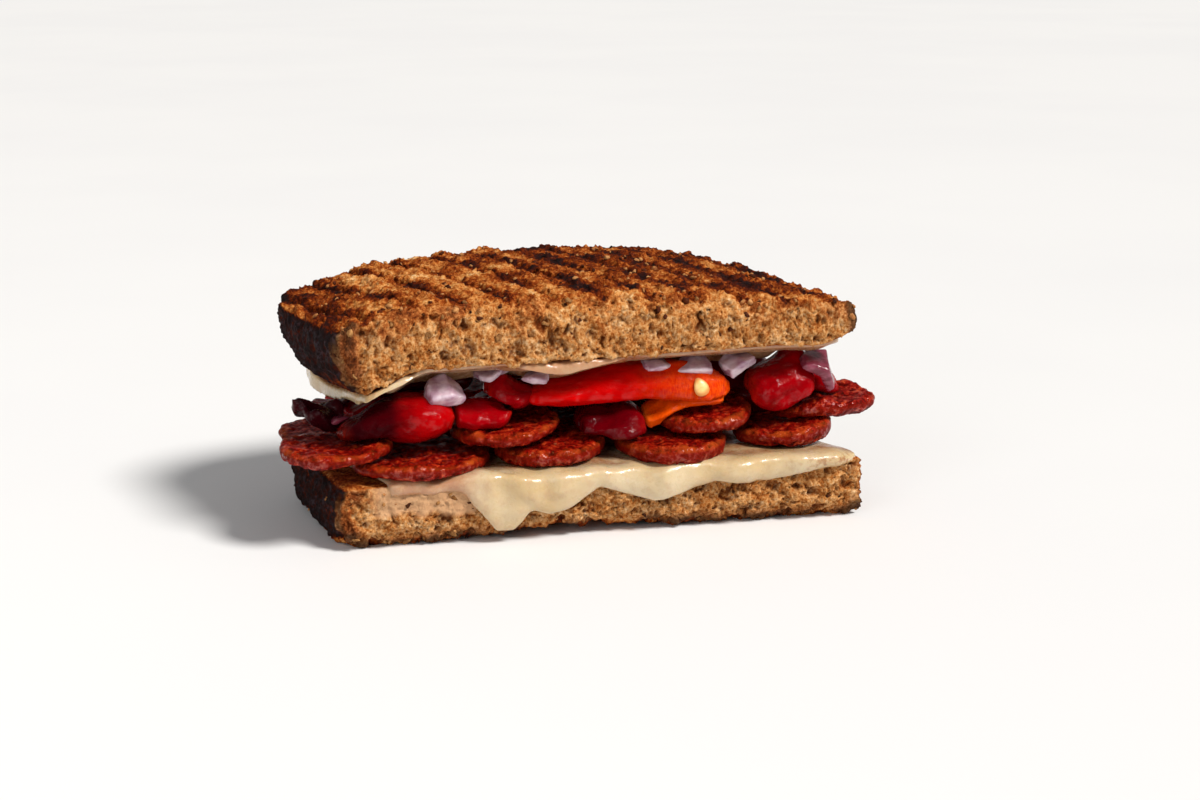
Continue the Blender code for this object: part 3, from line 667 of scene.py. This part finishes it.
def relaxed(mesh: Mesh, rounds: int) -> None:
    """Rounds off a mesh's corners."""
    form = bmesh.new()
    form.from_mesh(mesh)
    axes = {"use_axis_x": True, "use_axis_y": True, "use_axis_z": True}
    for _ in range(rounds):
        bmesh.ops.smooth_vert(form, verts=form.verts[:], factor=0.5, **axes)
    form.to_mesh(mesh)
    form.free()


def refined(mesh: Mesh, wanted: Callable[[bmesh.types.BMFace], bool]) -> None:
    """Splits some faces in four."""
    form = bmesh.new()
    form.from_mesh(mesh)
    edges = list({edge for face in form.faces if wanted(face) for edge in face.edges})
    bmesh.ops.subdivide_edges(form, edges=edges, cuts=1, use_grid_fill=True, smooth=0.0)
    bmesh.ops.triangulate(form, faces=[face for face in form.faces if len(face.verts) > 4])
    form.to_mesh(mesh)
    form.free()


def show(name: str, mesh: Mesh, material: Material) -> Object:
    """Puts a finished mesh into the scene as a piece of the sandwich."""
    mesh.materials.append(material)
    mesh.shade_smooth()
    piece = placed(name, mesh)
    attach(piece, "root")
    log.info("%s: %d faces", name, len(mesh.polygons))
    return piece


def skinned(node: str, voxel: float, rounds: int) -> Skin:
    """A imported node's fine, rounded skin, ready to be sculpted."""
    mesh = voxelled(merged_copy(node), voxel)
    relaxed(mesh, rounds)
    return Skin(mesh)


def replace(node: str, look: str, skin: Skin, finish: Material) -> Object:
    """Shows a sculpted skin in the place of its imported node."""
    piece = show(f"{node}_{look}", skin.mesh, finish)
    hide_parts(node)
    return piece


@dataclass
class BreadSlice:
    """One toasted slice. Its grilled side faces up or down, and its open crumb shows at the cut."""

    node: str
    grilled: int
    seed: float
    voxel: float = 0.58
    cut_depth: float = 4.5
    refined_depth: float = 2.6
    tip_start: float = 56.0
    crust_reach: float = 7.0
    bar_direction: Pair = (-0.3379, 0.9412)
    bar_pitch: float = 10.2
    groove_half_width: float = 3.2
    large_hollow: float = 1.5
    middle_hollow: float = 0.8
    small_hollow: float = 0.42
    shoulder: float = 3.0
    soaked_share: float = 0.84
    soaked_from: float = 6.8
    soaked_ends: Pair = (-57.0, -26.0)

    def build(self, finish: Material) -> Object:
        """Sculpts the slice and dresses it."""
        skin = skinned(self.node, self.voxel, 3)
        front = CUT_MIDDLE.y + self.refined_depth * MM
        refined(skin.mesh, lambda face: face.normal.y < -0.35 and face.calc_center_median().y < front)
        skin.read()
        self.sculpt(skin)
        return replace(self.node, "toasted", skin, finish)

    def groove(self, points: Array) -> Array:
        """How deep in a pressed groove each point lies, from 0 to 1."""
        across = points[:, 0] * self.bar_direction[1] - points[:, 1] * self.bar_direction[0]
        wander = 0.5 * ripple(points * (1, 1, 0), 16, self.seed + 40)
        turns = (across + wander) / self.bar_pitch
        return smooth_step(1 - np.abs(turns - np.round(turns)) * self.bar_pitch / self.groove_half_width)

    def sculpt(self, skin: Skin) -> None:
        """Carves the crumb, the crags of the grilled side and the crust, and marks how each is browned.

        Args:
            skin: The slice's mesh.
        """
        points, normals = skin.points, skin.normals
        x, y, z = points.T
        low, high = z.min(), z.max()
        outward = normals[:, 2] * self.grilled
        cut = rise(-normals[:, 1], 0.30, 0.35) * (y < self.cut_depth)
        tip = rise(x, self.tip_start, 5) * fall(y, 18, 9)
        cut = np.maximum(cut, tip * fall(np.abs(normals[:, 2]), 0.7, 0.3))
        outer = rise(outward, 0.25, 0.45) * (1 - cut)
        inner = rise(-outward, 0.5, 0.3) * (1 - cut)
        crust = np.clip(1 - cut - outer - inner, 0, 1)
        groove = self.groove(points)
        uneven = shaken(points, 1.6, 0.9)
        flat = uneven * (1.0, 1.0, 1.1)
        large = pits(flat, 4.2, 0.36, self.seed)
        middle = pits(flat, 2.4, 0.45, self.seed + 3)
        small = pits(uneven, 1.1, 0.5, self.seed + 6)
        rough = crags(points, 3.0, self.seed + 9)
        fine = crags(points, 1.1, self.seed + 12, 3)
        broad = ripple(points, 8.0, self.seed + 15)
        grains = granules(uneven, 2.0, self.seed + 18)
        gravel = granules(shaken(points, 0.8, 0.4), 1.15, self.seed + 24)
        crumb = 1.05 * rough + 0.34 * fine + 0.5 * grains + 0.3 * gravel - self.large_hollow * large
        crumb -= self.middle_hollow * middle + self.small_hollow * small
        baked = 1.0 * rough + 0.40 * fine + 0.4 * grains + 0.25 * gravel
        baked += -0.5 * middle - 0.5 * large - 0.3 * small
        baked += groove * (0.55 + 0.5 * broad) - 0.2
        rind = 0.7 * broad + 0.9 * rough + 0.35 * fine + 0.3 * grains
        soaked = self.soaked(points, cut)
        height = (z - low) / (high - low)
        near_grill = height if self.grilled > 0 else 1 - height
        shoulder = self.shoulder * rise(near_grill, 0.5, 0.5) ** 2 * fall(y, 6, 5)
        skin.points[:, 1] += shoulder
        if self.grilled > 0:
            skin.points[:, 2] -= sag(points) * fall(z, 54, 9)
        crumb = crumb * (1 - 0.7 * soaked) + 0.25 * soaked
        skin.push(cut * crumb + outer * baked + crust * rind + inner * 0.12 * rough)
        skin.points[:, 2] = np.maximum(skin.points[:, 2], 0.0)
        skin.write()
        sunk = skin.hollows(6)
        start = 1.35 if self.grilled > 0 else 1.7
        near_grill = smooth_step(2.8 * near_grill - start + 0.5 * broad + 0.3 * rough)
        ends = points[cut > 0.5, 0]
        near_crust = np.maximum(ends.min() + self.crust_reach - x, (x - ends.max() + 2.5) * 1.4) / 4
        near_crust = cut * smooth_step(near_crust + 0.5 * rough + 0.4 * broad)
        spots = rise(ripple(points, 3.4, self.seed + 21), 0.15, 0.25)
        toast = outer * (0.36 + 0.24 * groove + 0.30 * broad + 0.10 * rough + 0.24 * spots * groove)
        toast += crust * (0.84 + 0.16 * broad + 0.2 * rough) + inner * 0.45
        toast += cut * (0.26 + 0.16 * near_grill + 0.24 * broad + 0.08 * rough)
        toast += cut * near_grill * (self.grilled < 0) * 0.42 + 0.34 * near_crust
        toast += 0.14 * fall(x, -46, 14) * crust
        toast += 0.18 * outer * rise(x, -34, 30) * rise(y, 3, 10)
        toast += 0.12 * outer * fall(x, -50, 10) + 1.3 * outer * crust
        toast += 0.18 * outer * fall(x, -61, 5)
        toast -= 0.14 * tip * near_crust
        skin.mark("toast", toast)
        skin.mark("crumb", cut * (1 - 0.85 * np.maximum(near_grill, near_crust)))
        # Painted shade: how far each point lies in a crevice or pore, for the finish to darken.
        skin.mark("shaded_hollow", sunk / 0.5 + cut * (0.75 * large + 0.4 * middle))
        skin.mark("soaked", soaked)
        # Soot and painted sheen on the charred crust, in patches.
        patchy = rise(ripple(points, 2.6, self.seed + 27), -0.25, 0.6)
        skin.mark("soot_and_sheen", patchy * rise(crust, 0.65, 0.3))

    def soaked(self, points: Array, cut: Array) -> Array:
        """Where melted cheese has soaked into the crumb under its edge."""
        if self.grilled > 0:
            return np.zeros(len(points))
        left, right = self.soaked_ends
        near_top = smooth_step((points[:, 2] - self.soaked_from - 2.2 * ripple(points, 4, 31)) / 2.0)
        stretch = fall(points[:, 0], right, 5) * rise(points[:, 0], left, 5)
        return self.soaked_share * cut * near_top * stretch


@dataclass
class Bits:
    """Many small bits, crumbs or grains, half sunk in a surface."""

    name: str
    count: int
    size: Pair
    flat: float
    sink: float
    seed: int
    lean: float = 0.5
    unevenness: float = 0.34

    def build(
        self, carrier: Object, finish: Material, wanted: Callable[[Vector, Vector], bool]
    ) -> Object:
        """Scatters the bits over a piece.

        Args:
            carrier: The piece that they lie on.
            finish: Their material.
            wanted: Tells from a place and its outward direction whether a bit can lie there.

        Returns:
            One object with all the bits.
        """
        chance = random.Random(self.seed)
        faces = carrier.data.polygons
        form = bmesh.new()
        laid = 0
        while laid < self.count:
            face = faces[chance.randrange(len(faces))]
            centre, normal = Vector(face.center), Vector(face.normal)
            if not wanted((centre - CUT_MIDDLE) / MM, normal):
                continue
            self.add_bit(form, centre, normal, chance)
            laid += 1
        return show(self.name, meshed(form, self.name), finish)

    def add_bit(self, form: bmesh.types.BMesh, centre: Vector, normal: Vector, chance: random.Random) -> None:
        """Adds one bit at a place, turned at random about the outward direction."""
        size = chance.uniform(*self.size) * MM
        turn = normal.to_track_quat("Z", "Y").to_matrix().to_4x4()
        turn = turn @ Matrix.Rotation(chance.uniform(0, math.tau), 4, "Z")
        turn = turn @ Matrix.Rotation(chance.uniform(-self.lean, self.lean), 4, "X")
        shape = Matrix.Diagonal((size, size * chance.uniform(0.5, 0.85), size * self.flat, 1))
        place = Matrix.Translation(centre + normal * size * (0.5 * self.flat - self.sink))
        made = bmesh.ops.create_icosphere(form, subdivisions=1, radius=0.5, matrix=place @ turn @ shape)
        for vertex in made["verts"]:
            vertex.co += self.unevenness * size * noise.noise_vector(vertex.co / (0.9 * size))


@dataclass
class CheeseLayer:
    """A melted slice of cheese that follows the bread and runs down at the cut."""

    node: str
    thin_places: tuple[Triple, ...]
    drawn_back: tuple[Quad, ...]
    seed: float
    swell: float = 0.25
    rounding: int = 10
    bend: float = 0.0
    voxel: float = 0.5

    def build(
        self, finish: Material, lid: Optional[BVHTree] = None, pile: Optional[BVHTree] = None
    ) -> Object:
        """Rounds the layer, ripples it and dresses it.

        Args:
            finish: The cheese's material.
            lid: The slice that it clings to from below, if it does.
            pile: What it then melts down on to.

        Returns:
            The layer's object.
        """
        skin = skinned(self.node, self.voxel, self.rounding)
        points = skin.points
        if lid is not None:
            points[:, 2] -= sag(points)
        front = fall(points[:, 1], 1.0, 4)
        bends = fall(points[:, 1], 8, 8) * self.bend
        points[:, 1] += bends * ripple(points * (1, 0, 0.4), 9.0, self.seed + 7)
        points[:, 2] += 0.5 * bends * ripple(points * (1, 0.5, 0), 7.0, self.seed + 8)
        skin.renew()
        wavy = 0.50 * ripple(skin.points, 6.5, self.seed)
        wavy += front * 0.4 * ripple(skin.points, 3.4, self.seed + 4)
        skin.push(self.swell + wavy)
        self.settle(skin)
        if lid is not None and pile is not None:
            self.melt(skin, pile)
            self.cling(skin, lid)
        x, y, _ = skin.points.T
        thin = np.zeros(len(x))
        for middle, half_width, strength in self.thin_places:
            thin = np.maximum(thin, strength * np.exp(-(((x - middle) / half_width) ** 4)))
        skin.mark("thin", thin)
        skin.mark("browned", rise(x, 38, 20) * front)
        skin.mark("oiled", rise(np.abs(skin.normals[:, 2]), 0.6, 0.3) * rise(y, 0.5, 3))
        return replace(self.node, "melted", skin, finish)

    def cling(self, skin: Skin, lid: BVHTree) -> None:
        """Keeps the layer thin along the cut, where it hardly shows under the slice.

        Args:
            skin: The layer's mesh.
            lid: The slice over it.
        """
        points = skin.points
        hang = 1.3 + 2.0 * np.exp(-(((points[:, 0] + 11) / 7) ** 2)) + 1.0 * fall(points[:, 0], -50, 6)
        hang += 0.5 * ripple(points * (1, 0, 0), 7.0, self.seed + 9)
        front = fall(points[:, 1], 7, 4)
        start = np.stack([points[:, 0], np.maximum(points[:, 1], 4.0), points[:, 2]], axis=1)
        start = start * MM + np.array(CUT_MIDDLE)
        for index in np.nonzero(front > 0)[0]:
            hit = lid.ray_cast(Vector(start[index]), Vector((0, 0, 1)))
            if hit[0]:
                gap = hit[3] / MM
                below = hang[index] * math.tanh(max(gap - 0.6, 0.0) / 0.8)
                points[index, 2] += front[index] * (gap + 0.3 - below)
        skin.renew()

    def melt(self, skin: Skin, pile: BVHTree) -> None:
        """Lets the layer's underside sag between the pieces under it until it meets them."""
        drop = np.zeros(len(skin.points))
        rim = [face.vertices[:] for face in skin.mesh.polygons if abs(face.normal.z) < 0.5]
        rim = BVHTree.FromPolygons([vertex.co for vertex in skin.mesh.vertices], rim)
        for index in np.nonzero(skin.normals[:, 2] < -0.1)[0]:
            place = skin.mesh.vertices[index].co
            hit = pile.ray_cast(place, Vector((0, 0, -1)))
            inside = (rim.find_nearest(place)[3] / MM - 5) / 5
            drop[index] = min(max(inside, 0.0), 1.0) * (min((hit[3] / MM) - 0.1, 5.0) if hit[0] else 1.0)
        drop = skin.evened(drop, 8)
        skin.points[:, 2] -= np.maximum(drop, 0)
        skin.renew()

    def settle(self, skin: Skin) -> None:
        """Draws the layer's edge back where the bread shows in front of it."""
        for low, high, drop, back in self.drawn_back:
            x, y, z = skin.points.T
            reach = rise(x, low, 7) * fall(x, high, 7)
            front = fall(y, 9, 6)
            y += reach * front * back
            z -= reach * front * drop
        skin.renew()


@dataclass
class SausageRound:
    """A fried round of sausage, with a skin round its side and coarse meat on its faces."""

    node: str
    seed: float
    nudge: Nudge = Nudge()
    voxel: float = 0.55

    def build(self, finish: Material) -> Object:
        """Sculpts the round and dresses it.

        Args:
            finish: The sausage's material.

        Returns:
            The round's object.
        """
        skin = skinned(self.node, self.voxel, 8)
        self.nudge.apply(skin)
        points, normals = skin.points, skin.normals
        side = fall(np.abs(normals[:, 2]), 0.62, 0.35)
        middle = points[:, :2].mean(axis=0)
        reach = np.linalg.norm(points[:, :2] - middle, axis=1)
        edge = rise(reach / reach.max(), 0.80, 0.1) * rise(normals[:, 2], 0.2, 0.3)
        shaded_hollow = pits(points, 2.6, 0.35, self.seed)
        coarse = crags(points, 2.6, self.seed + 5)
        warp = 0.85 * ripple(points, 11, self.seed + 8) + 0.3 * ripple(points, 5, self.seed + 9)
        skin.push(warp + (0.42 - 0.34 * side) * coarse - 0.6 * shaded_hollow * (1 - side) - 0.1 * shaded_hollow * side)
        skin.mark("skin", side)
        skin.mark("edge", edge * (0.55 + 0.6 * ripple(points, 5, self.seed + 2)))
        # Painted shade in crevices and pits, marked for the finish to darken.
        skin.mark("shaded_hollow", skin.hollows(5) / 0.35 + 0.3 * shaded_hollow)
        return replace(self.node, "fried", skin, finish)


@dataclass
class PepperPiece:
    """A piece of roasted pepper: soft, wrinkled along its length, with torn ends."""

    node: str
    tone: PepperTone
    seed: float
    shade_from: Optional[float] = None
    shade_to: Optional[float] = None
    torn_right: float = 0.0
    blunt_right: float = 0.0
    crinkle: float = 0.0
    nudge: Nudge = Nudge()
    voxel: float = 0.5

    def build(self, finishes: dict[PepperTone, Material]) -> Object:
        """Sculpts the piece and dresses it.

        Args:
            finishes: The pepper's materials by tone.

        Returns:
            The piece's object.
        """
        skin = skinned(self.node, self.voxel, 6)
        self.nudge.apply(skin)
        if self.crinkle:
            flat = skin.points * (1, 1, 0.2)
            skin.points[:, 2] += self.crinkle * ripple(flat, 3.0, self.seed + 11)
            skin.points[:, 0] += 0.7 * self.crinkle * ripple(flat, 4.0, self.seed + 13)
            skin.renew()
        points = skin.points
        low, high = points.min(axis=0), points.max(axis=0)
        along = (points[:, 0] - low[0]) / max(high[0] - low[0], 1.0)
        wrinkles = 1 - np.abs(ripple(points * (0.45, 1.0, 1.0), 3.2, self.seed)) * 2.2
        folds = ripple(points * (0.6, 1.0, 1.0), 6.0, self.seed + 3)
        ends = fall(np.minimum(along, 1 - along), 0.12, 0.12)
        blunt = self.blunt_right * rise(along, 0.45, 0.3) * (1 - np.abs(skin.normals[:, 0]))
        skin.push(blunt + 0.28 * wrinkles + 0.55 * folds + 0.3 * ends * crags(points, 2.0, self.seed + 6))
        # Painted shade: the piece darkens past a given x, as if that end lay in shade.
        deep = np.zeros(len(points))
        if self.shade_from is not None and self.shade_to is not None:
            deep = rise(points[:, 0] + 2.0 * folds, self.shade_from, self.shade_to - self.shade_from)
        skin.mark("deep", 0.92 * deep)
        torn = 0.35 * ends
        if self.torn_right:
            torn = smooth_step((along - 1 + self.torn_right) / self.torn_right)
        skin.mark("torn", torn)
        # Painted shade in crevices, marked for the finish.
        skin.mark("shaded_hollow", skin.hollows(6) / 0.5)
        return replace(self.node, "roasted", skin, finishes[self.tone])


@dataclass
class OnionDice:
    """A diced piece of red onion with its purple skin side."""

    node: str
    seed: float
    nudge: Nudge = Nudge()
    voxel: float = 0.38

    def build(self, finish: Material) -> Object:
        """Rounds the piece and dresses it."""
        skin = skinned(self.node, self.voxel, 3)
        self.nudge.apply(skin)
        points = skin.points
        upper = rise(skin.normals[:, 2], 0.25, 0.4)
        skin.push(0.12 + 0.22 * ripple(points, 3.0, self.seed) + 0.06 * ripple(points, 1.0, self.seed + 2))
        ends = rise(np.abs(skin.normals[:, 0]), 0.55, 0.3)
        skin.mark("skin", np.maximum(0.35 * upper, 0.8 * ends * (ripple(points, 4, self.seed + 4) > -0.1)))
        skin.mark("edge", ends)
        return replace(self.node, "cut", skin, finish)


@dataclass
class SeedPiece:
    """The flat pepper seed that lies on the strip."""

    node: str = "pepper_seed"
    place: Pair = (22.4, 33.4)
    size: Triple = (1.75, 2.25, 0.75)
    lean: float = 0.35

    def build(self, finish: Material, strip: Object) -> Object:
        """Shapes the seed and lays it on the strip.

        Args:
            finish: The seed's material.
            strip: The pepper strip that it lies on.

        Returns:
            The seed's object.
        """
        start = CUT_MIDDLE + Vector((self.place[0], -15, self.place[1])) * MM
        hit, normal, _, _ = search_tree(strip.data).ray_cast(start, Vector((0, 1, 0)))
        turn = normal.to_track_quat("Z", "Y").to_matrix().to_4x4() @ Matrix.Rotation(self.lean, 4, "Z")
        form = bmesh.new()
        bmesh.ops.create_uvsphere(form, u_segments=32, v_segments=20, radius=1.0)
        for vertex in form.verts:
            vertex.co.x *= 1 - 0.32 * vertex.co.y
            vertex.co.z *= 1 - 0.25 * vertex.co.xy.length_squared
        shape = Matrix.Diagonal((*(side * MM for side in self.size), 1))
        place = Matrix.Translation(hit + normal * 0.3 * MM) @ turn
        bmesh.ops.transform(form, matrix=shape, verts=form.verts[:])
        bmesh.ops.transform(form, matrix=place, verts=form.verts[:])
        skin = Skin(meshed(form, self.node))
        reach = np.linalg.norm(skin.points - skin.points.mean(axis=0), axis=1)
        skin.mark("edge", rise(reach / reach.max(), 0.5, 0.35))
        return replace(self.node, "dried", skin, finish)


@dataclass
class Filling:
    """All the sausage, pepper and onion between the slices."""

    sausages: tuple[str, ...] = (
        *(f"sausage_front_{i}" for i in range(1, 6)),
        *(f"sausage_middle_{i}" for i in range(1, 5)),
        *(f"sausage_back_{i}" for i in range(1, 3)),
        *(f"sausage_upper_{i}" for i in range(1, 7)),
        "sausage_right",
    )
    onions: tuple[str, ...] = tuple(f"onion_{i}" for i in range(1, 13) if i != 7)
    # Thin purple onion skins, and onion_7, which takes their dark finish as painted shade, for it lies where
    # there is only shade.
    films_and_shaded_onions: tuple[str, ...] = ("onion_curl", "onion_sliver", "onion_7")
    nudges: dict[str, Nudge] = field(
        default_factory=lambda: {
            "onion_1": Nudge(up=2.8),
            "onion_2": Nudge(forward=4.0),
            "onion_3": Nudge(left=0.8, right=0.8, forward=3.0),
            "onion_4": Nudge(left=0.3, right=0.3, forward=6.0),
            "onion_5": Nudge(left=0.3, right=0.3, forward=7.0),
            "onion_6": Nudge(left=3.6, right=3.6, up=0.5, forward=4.0),
            "onion_8": Nudge(left=-2.5, right=-2.5),
            "sausage_upper_1": Nudge(left=1.2, right=1.2),
            "sausage_front_1": Nudge(left=0.8, right=0.4),
            "sausage_front_2": Nudge(left=-0.8, right=-0.8),
            "sausage_front_4": Nudge(left=-0.9, right=-0.9),
        }
    )
    peppers: tuple[PepperPiece, ...] = (
        # The left end of pepper_left gets painted shade.
        PepperPiece("pepper_left", SHADED, 1.0, shade_from=-43.5, shade_to=-51.0, blunt_right=1.3),
        PepperPiece("pepper_piece", CRIMSON, 2.0, nudge=Nudge(down=2.6)),
        PepperPiece("pepper_lump", CRIMSON, 3.0),
        PepperPiece("pepper_strip", BRIGHT, 4.0, None, None, 0.56, 0.6, 0.0, Nudge(3.8, 0.4, reach=4.0)),
        PepperPiece("pepper_block", WINE, 5.0, torn_right=0.3),
        PepperPiece("pepper_flap", ORANGE, 6.0, nudge=Nudge(up=1.6)),
        PepperPiece("pepper_right", CRIMSON, 7.0, nudge=Nudge(up=1.2, down=-2.2)),
        PepperPiece("pepper_skin", BLACKENED, 8.0, crinkle=2.2, nudge=Nudge(up=3.6)),
        PepperPiece("pepper_scrap", CRIMSON, 9.0),
        PepperPiece("pepper_middle_1", CRIMSON, 10.0),
        PepperPiece("pepper_middle_2", BRIGHT, 11.0),
        PepperPiece("pepper_middle_3", CRIMSON, 12.0),
        PepperPiece("pepper_back_1", BRIGHT, 13.0, nudge=Nudge(slide=8.0)),
        PepperPiece("pepper_back_2", CRIMSON, 14.0),
        PepperPiece("pepper_back_3", BRIGHT, 15.0),
        PepperPiece("pepper_tuck_1", WINE, 16.0, nudge=Nudge(down=3.0)),
        PepperPiece("pepper_tuck_2", WINE, 17.0),
        PepperPiece("pepper_tuck_3", WINE, 18.0, nudge=Nudge(right=-3.0, down=5.0, slide=3.0)),
        PepperPiece("pepper_tuck_4", CRIMSON, 19.0),
        PepperPiece("pepper_tuck_5", CRIMSON, 20.0),
    )

    def build(self) -> BVHTree:
        """Builds every piece of the filling.

        Returns:
            A search tree over the pieces, for what melts on them.
        """
        sausage = FriedSausage().material()
        built = [
            SausageRound(node, 3.7 * seed + 1, self.nudges.get(node, Nudge())).build(sausage)
            for seed, node in enumerate(self.sausages)
        ]
        finishes = {tone: RoastedPepper(tone).material() for tone in PepperTone}
        built += [pepper.build(finishes) for pepper in self.peppers]
        onion = RedOnion().material()
        built += [
            OnionDice(node, 2.9 * seed + 1, self.nudges.get(node, Nudge())).build(onion)
            for seed, node in enumerate(self.onions)
        ]
        # The dark onion-skin finish, also used on onion_7 as painted shade.
        film_and_shade_tones = ((134, 46, 68), (104, 20, 42), (84, 8, 30), (176, 110, 128))
        film_and_shade = RedOnion("red_onion_film_and_shade", *film_and_shade_tones).material()
        built += [OnionDice(node, 3.1 * seed + 60).build(film_and_shade) for seed, node in enumerate(self.films_and_shaded_onions)]
        strip = next(piece for piece in built if piece.name.startswith("pepper_strip"))
        built.append(SeedPiece().build(PepperSeed().material(), strip))
        corners, faces = [], []
        for piece in built:
            first = len(corners)
            corners += [vertex.co.copy() for vertex in piece.data.vertices]
            faces += [[first + index for index in face.vertices] for face in piece.data.polygons]
        return BVHTree.FromPolygons(corners, faces)


@dataclass
class Studio:
    """A pale floor, a plain sky, soft lights and the camera at the picture's viewing angle."""

    camera_place: Triple = (-0.1055, -0.4387, 0.1443)
    heading: Pair = (0.2287, 0.9735)
    pitch: float = 13.93
    lens: float = 61.0
    floor_size: float = 14.0
    sky: float = 0.24
    sun_strength: float = 3.7
    sun_spread: float = 16.0
    sun_place: Triple = (0.50, -0.46, 0.74)
    fill_power: float = 1.6
    fill_place: Triple = (-0.55, -0.62, 0.42)
    fill_size: float = 0.5

    def build(self) -> None:
        """Sets up the floor, the lights and the camera."""
        self.floor()
        self.world()
        sun = self.light("key", "SUN", self.sun_place, (0, 0, 0), self.sun_strength)
        sun.angle = math.radians(self.sun_spread)
        sun.color = (1.0, 0.97, 0.93)
        self.light("fill", "AREA", self.fill_place, (0, 0, 0.03), self.fill_power).size = self.fill_size
        self.camera()

    def floor(self) -> None:
        """Lays the floor under the sandwich."""
        form = bmesh.new()
        bmesh.ops.create_grid(form, x_segments=1, y_segments=1, size=self.floor_size / 2)
        floor = placed("floor", meshed(form, "floor"))
        graph = Graph("pale_floor")
        tint = graph.mix(graph.patches(300, 3, 0.4, 0.6, 0.0, 0.5), (240, 240, 240), (236, 236, 237))
        floor.data.materials.append(graph.shade(Base_Color=tint, Roughness=0.8))

    def world(self) -> None:
        """Gives an even pale light from all round."""
        world = bpy.data.worlds.new("pale_sky")
        world.use_nodes = True
        back = world.node_tree.nodes["Background"]
        back.inputs["Color"].default_value = (1.0, 1.0, 1.0, 1.0)
        back.inputs["Strength"].default_value = self.sky
        bpy.context.scene.world = world
        bpy.context.scene.view_settings.view_transform = "Standard"

    def light(
        self, name: str, kind: str, place: Sequence[float], target: Sequence[float], power: float
    ) -> bpy.types.Light:
        """Adds a light that points from its place at a target, and gives its data."""
        data = bpy.data.lights.new(name, kind)
        data.energy = power
        lamp = placed(name, data)
        lamp.location = place
        lamp.rotation_euler = (Vector(target) - Vector(place)).to_track_quat("-Z", "Y").to_euler()
        return data

    def camera(self) -> None:
        """Stands the camera where the picture was taken from."""
        data = bpy.data.cameras.new("camera")
        data.sensor_width = 36.0
        data.lens = self.lens
        camera = placed("camera", data)
        camera.location = Vector(self.camera_place) + Vector((CUT_MIDDLE.x, CUT_MIDDLE.y, 0))
        tilt = math.tan(math.radians(self.pitch))
        aim = Vector((*Vector(self.heading).normalized(), -tilt))
        camera.rotation_euler = aim.to_track_quat("-Z", "Y").to_euler()
        bpy.context.scene.camera = camera


def scatter_bits(lower: Object, upper: Object) -> None:
    """Puts grains and crumbs on the slices.

    Args:
        lower: The bottom slice.
        upper: The top slice.
    """
    flax = BreadBits(CrumbTone.FLAX).material()
    grain = BreadBits(CrumbTone.SEEDS).material()
    golden = BreadBits(CrumbTone.GOLDEN).material()
    charred = BreadBits(CrumbTone.CHARRED).material()

    def at_cut(place: Vector, normal: Vector) -> bool:
        """Whether a place lies on the cut crumb."""
        return normal.y < -0.45 and place.y < 4

    def on_top(place: Vector, normal: Vector) -> bool:
        """Whether a place lies on the grilled top."""
        return normal.z > 0.3 and place.z > 45

    def outside(place: Vector, normal: Vector) -> bool:
        """Whether a place lies on the outside of the slice."""
        return abs(normal.z) > 0.2 or normal.y < -0.2 or abs(normal.x) > 0.4

    Bits("grains_lower_cut", 44, (1.0, 2.3), 0.5, 0.2, 5).build(lower, grain, at_cut)
    Bits("flax_lower_cut", 24, (0.9, 1.7), 0.35, 0.2, 6).build(lower, flax, at_cut)
    Bits("grains_upper_cut", 34, (1.0, 2.2), 0.5, 0.2, 7).build(upper, grain, at_cut)
    Bits("flax_upper_cut", 18, (0.9, 1.7), 0.35, 0.2, 8).build(upper, flax, at_cut)
    Bits("crumbs_top_golden", 150, (0.6, 2.0), 0.6, 0.2, 9).build(upper, golden, on_top)
    Bits("crumbs_top_charred", 110, (0.6, 2.0), 0.5, 0.2, 10).build(upper, charred, on_top)
    Bits("crumbs_lower_golden", 70, (0.5, 1.5), 0.6, 0.2, 11).build(lower, golden, outside)


def main() -> None:
    """Builds the studio, then the bread, the cheese and the filling."""
    logging.basicConfig(level=logging.INFO, format="%(name)s: %(message)s")
    noise.seed_set(NOISE_SEED)
    Studio().build()
    bread = ToastedBread().material()
    lower = BreadSlice("bread_bottom", -1, 2.0).build(bread)
    upper = BreadSlice("bread_top", 1, 7.0).build(bread)
    cheese = MeltedCheese().material()
    soaked = ((-80.0, -33.0, 0.3, 1.5), (54.0, 90.0, 0.8, 4.0))
    CheeseLayer("cheese_bottom", ((-43.0, 12.0, 0.9),), soaked, 3.0, rounding=15, bend=1.6).build(cheese)
    pile = Filling().build()
    upper_edges = ((-46.0, -19.0, -0.9, 3.2), (1.0, 70.0, -0.9, 3.2))
    thin = ((-6.0, 40.0, 0.85), (34.0, 30.0, 0.85))
    top = CheeseLayer("cheese_top", thin, upper_edges, 8.0, -0.1, 6)
    top.build(cheese, search_tree(upper.data), pile)
    scatter_bits(lower, upper)


if __name__ == "__main__":
    main()
